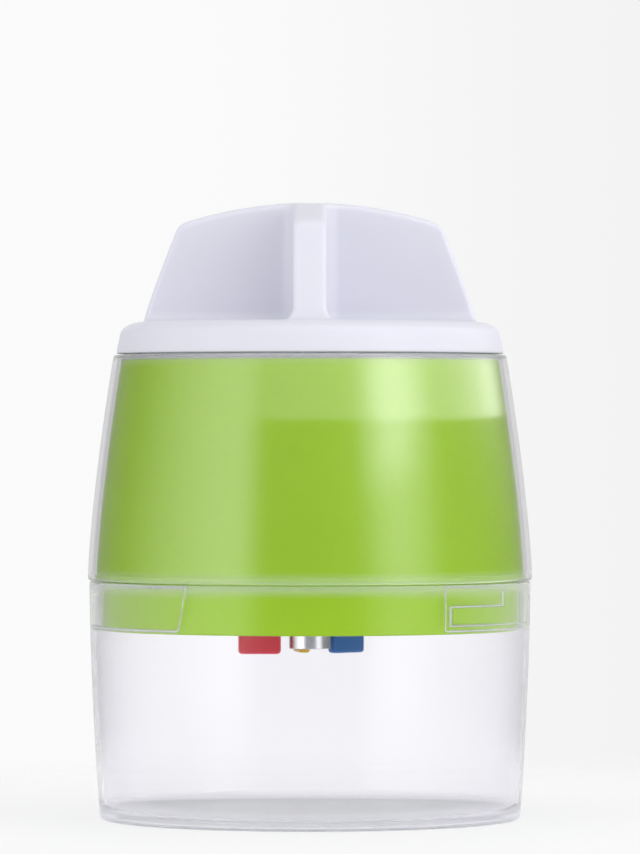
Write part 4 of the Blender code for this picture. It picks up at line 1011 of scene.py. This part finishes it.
# %% [markdown]
# ## Prongs and the centre spike
#
# Eight steel pins and a longer spike hold the food. Each is a turned part with a ground point. The
# pin's point is slightly hollow-ground in profile, so it looks sharp and not like a pencil. The
# spike is on the axis that the holder turns about, so it rides on a body of its own.

# %% Build the prongs, the spike and the holder's screws
PRONG_PLATE_TOP = FLANGE_BOTTOM + 1.5 * MM
PRONG_PLATE_BOTTOM = FLANGE_BOTTOM - 0.9 * MM


def point_profile(radius, tip, length, top):
    """Half section from the tip up: radius * t^0.8 over the ground point, then straight on."""
    t = np.linspace(0.0, 1.0, 14)
    ground = np.column_stack([radius * t ** 0.8, tip + length * t])
    return np.vstack([ground, [radius, top], [0.0, top]])


prong_profile = point_profile(0.9 * MM, PRONG_PLATE_BOTTOM - 15.0 * MM, 4.0 * MM,
                              PRONG_PLATE_TOP + 1.1 * MM)
prong_points = turn_points(prong_profile, 24)
prongs = ring_of(prong_points, 10.0 * MM, DIAGONALS)
prongs += ring_of(prong_points, 18.0 * MM, (0.0, 90.0, 180.0, 270.0))
piece("prong_set", prongs, PIN, "holder", [f"prong_{k}" for k in range(1, 9)])

SPIKE_RADIUS = 2.0 * MM
SPIKE_TOP = HOLDER_CEILING + 4.0 * MM
SPIKE_FLANGE = 4.5 * MM
SPIKE_FLANGE_TOP = PRONG_PLATE_BOTTOM - 0.3 * MM
SPIKE_FLANGE_LOW = SPIKE_FLANGE_TOP - 1.2 * MM
spike_profile = np.vstack([
    point_profile(SPIKE_RADIUS, SPIKE_FLANGE_LOW - 18.5 * MM, 9.0 * MM,
                  SPIKE_FLANGE_LOW - 0.3 * MM)[:-1],
    outline((0.0, SPIKE_FLANGE_LOW, 0.0), (SPIKE_RADIUS, SPIKE_FLANGE_LOW, 0.2 * MM),
            (SPIKE_FLANGE, SPIKE_FLANGE_LOW, 0.2 * MM), (SPIKE_FLANGE, SPIKE_FLANGE_TOP, 0.2 * MM),
            (SPIKE_RADIUS, SPIKE_FLANGE_TOP, 0.1 * MM), (SPIKE_RADIUS, SPIKE_TOP, 0.3 * MM),
            (0.0, SPIKE_TOP, 0.0))[1:],
])
piece("spike_pin", [turned(spike_profile, 48, closed=False)], PIN, "spindle",
      ["center_spike"])
screw_set("holder_screw_set", 30.0 * MM, DIAGONALS, PRONG_PLATE_BOTTOM - 0.3 * MM,
          HOLDER_FLOOR - 1.0 * MM, "holder", [f"holder_screw_{k}" for k in range(1, 5)])

# %% [markdown]
# ## Floor, background and light
#
# The photograph is a plain studio picture: a white ground, a wide soft light on the left, a
# narrower one on the right and a ceiling whose lower edge shows as a level line on the green cup.
#
# Four area lamps light the tool. They would show as hard squares in gloss and in the clear walls,
# so gloss and clear plastic don't see them. The world holds the studio that gloss sees, written as
# functions of the ray's direction: azimuth 0 is the camera's side, and rise is the upward part.
# A wall at azimuth a mirrors the direction 2 a, which is how each panel's place was worked out.
# The camera and the clear walls see plain white instead, and diffuse surfaces see a soft even glow.
#
# The ground is a disc that fades out into that white and keeps the tool's soft shadow. The clear
# walls cast no shadow from the lamps, because a path tracer finds light through glass too rarely.

# %% Floor
FLOOR_RADIUS = 1.6
FADE_START = 0.11
FADE_END = 0.34
PAPER_SHARE = 0.7
floor_mesh = bpy.data.meshes.new("floor")
angles = full_turn(96)
floor_ring = FLOOR_RADIUS * np.column_stack([np.cos(angles), np.sin(angles), 0 * angles])
floor_mesh.from_pydata(floor_ring.tolist(), [], [range(len(angles))])
floor = bpy.data.objects.new("floor", floor_mesh)
bpy.context.scene.collection.objects.link(floor)
floor.location.z = -0.1 * MM
ground, tree, shader = new_material("ground")
set_sockets(shader, Roughness=0.7, Base_Color=(0.93, 0.93, 0.94, 1.0))
floor_mesh.materials.append(ground)
distance = add_node(tree, "VectorMath", add_node(tree, "TexCoord").outputs["Object"])
distance.operation = "LENGTH"
fade = slope(distance.outputs["Value"], FADE_START, FADE_END, 0.0, 1.0)
paper = add_node(tree, "Emission", Color=(0.97, 0.97, 0.975, 1.0))
diffuse_ray = add_node(tree, "LightPath").outputs["Is Diffuse Ray"]
bright = blend(spread(diffuse_ray, PAPER_SHARE, 0.0), shader.outputs["BSDF"],
               paper.outputs["Emission"])
gone = add_node(tree, "BsdfTransparent").outputs["BSDF"]
set_sockets(tree.nodes["Material Output"], Surface=blend(fade, bright, gone))
print(f"floor fades out between {FADE_START} and {FADE_END} m")

# %% World: directions and panels
world = bpy.data.worlds.new("studio")
world.use_nodes = True
world.cycles.sampling_method = "NONE"
bpy.context.scene.world = world
tree = world.node_tree
split = add_node(tree, "SeparateXYZ", add_node(tree, "TexCoord").outputs["Generated"])
azimuth = maths("ARCTAN2", split.outputs["X"], maths("MULTIPLY", split.outputs["Y"], -1.0))
rise = split.outputs["Z"]


def panel(peak, left_width, right_width, level):
    """An upright soft panel, brightest at an azimuth. It fades over one width on each side."""
    low, middle, high = np.radians([peak - left_width, peak, peak + right_width]).tolist()
    left = slope(azimuth, low, middle, 0.0, 1.0)
    return maths("MULTIPLY", left, slope(azimuth, middle, high, level, 0.0))


# %% World: the studio that gloss sees
ROOM = 0.25
BACKDROP = 0.55
CEILING_RISE = 0.276
CEILING_EDGE = 0.0015
left_panel = panel(peak=-41.0, left_width=78.0, right_width=20.0, level=2.6)
right_panel = panel(peak=48.0, left_width=27.0, right_width=33.0, level=1.0)
right_panel = maths("MULTIPLY", right_panel, slope(rise, 0.17, 0.25, 2.1, 5.4))
backdrop = maths("ADD", slope(azimuth, 2.45, 2.85, 0.0, BACKDROP),
                 slope(azimuth, -2.85, -2.5, BACKDROP, 0.0))
ceiling_edge = maths("MULTIPLY", maths("COSINE", maths("MULTIPLY", azimuth, 0.5)), CEILING_RISE)
over_edge = slope(maths("SUBTRACT", rise, ceiling_edge), -CEILING_EDGE, CEILING_EDGE, 0.0, 1.0)
ceiling_ends = maths("MULTIPLY", slope(azimuth, -0.75, -0.25, 0.0, 1.0),
                     slope(azimuth, 2.1, 2.6, 1.0, 0.0))
ceiling = maths("MULTIPLY", maths("MULTIPLY", over_edge, ceiling_ends),
                slope(azimuth, 0.2, 1.2, 1.75, 2.6))
sides = maths("ADD", maths("ADD", left_panel, right_panel), backdrop)
studio = maths("ADD", maths("ADD", sides, ceiling), ROOM)

# %% World: which ray sees what
SOFT_GLOW = 0.72
PAPER_LEFT, PAPER_RIGHT = 0.965, 0.89
SEEN_THROUGH = 0.985
paper_white = slope(split.outputs["X"], -0.03, 0.07, PAPER_LEFT, PAPER_RIGHT)
path = add_node(tree, "LightPath").outputs
seen_through = maths("MULTIPLY", path["Is Transmission Ray"], SEEN_THROUGH)
soft = tree.nodes["Background"]
set_sockets(soft, Color=(1.0, 1.0, 1.0, 1.0), Strength=SOFT_GLOW)
gloss_view = add_node(tree, "Background", Color=(1.0, 1.0, 1.0, 1.0), Strength=studio)
white = add_node(tree, "Background", Color=(0.995, 0.995, 1.0, 1.0),
                 Strength=maths("MAXIMUM", paper_white, seen_through))
first_bounce = maths("LESS_THAN", path["Diffuse Depth"], 0.5)
unreflected = maths("LESS_THAN", path["Glossy Depth"], 0.5)
for_gloss = maths("MULTIPLY", path["Is Glossy Ray"], first_bounce)
through = maths("MULTIPLY", maths("MULTIPLY", path["Is Transmission Ray"], first_bounce),
                unreflected)
for_white = maths("MAXIMUM", path["Is Camera Ray"], through)
shine = blend(for_gloss, soft.outputs["Background"], gloss_view.outputs["Background"])
sky = blend(for_white, shine, white.outputs["Background"])
set_sockets(tree.nodes["World Output"], Surface=sky)
print("world lights softly, shows as white, and has panels for the gloss")

# %% Lamps
LAMP_DISTANCE = 1.2
TOOL_MIDDLE = 0.09


def soft_light(name, azimuth, elevation, width, height, power):
    """Area light at a direction from the tool's middle, turned to face it. Azimuth 0 is the front.

    Gloss and clear plastic see the world's own panels, so they don't see the lamp.
    """
    data = bpy.data.lights.new(name, "AREA")
    data.shape = "RECTANGLE"
    data.size, data.size_y, data.energy = width, height, power
    lamp = bpy.data.objects.new(name, data)
    a, e = math.radians(azimuth), math.radians(elevation)
    away = np.array([math.sin(a) * math.cos(e), -math.cos(a) * math.cos(e), math.sin(e)])
    lamp.location = away * LAMP_DISTANCE + [0.0, 0.0, TOOL_MIDDLE]
    lamp.rotation_euler = (math.radians(90.0) - e, 0.0, a)
    lamp.visible_glossy = lamp.visible_transmission = False
    bpy.context.scene.collection.objects.link(lamp)


soft_light("front_panel", 34.0, 12.0, 0.9, 0.9, 3.6)
soft_light("left_panel", -62.0, 10.0, 0.5, 0.9, 3.0)
soft_light("right_panel", 75.0, 10.0, 0.5, 0.9, 2.6)
soft_light("top_panel", 0.0, 66.0, 1.0, 0.8, 1.5)
print("a panel in front, one on each side and one above")

# %% [markdown]
# ## Camera
#
# The lines of the photograph tell where its camera stood. The far rim of the body hides behind the
# near one, so the camera is close to the height of the body's middle, and the rims curve so little
# that it is well over a metre away. A long lens at 1.5 m gives nearly the same curves.

# %% Set the camera
camera_data = bpy.data.cameras.new("camera")
camera_data.lens = 263.5
camera_data.sensor_width = 36.0
camera_data.clip_end = 50.0
camera = bpy.data.objects.new("camera", camera_data)
camera.location = (0.0024, -1.5, 0.095)
camera.rotation_euler = (math.radians(90.0 - 0.04), 0.0, 0.0)
bpy.context.scene.collection.objects.link(camera)
bpy.context.scene.camera = camera
print(f"camera {camera_data.lens} mm at {tuple(camera.location)}")
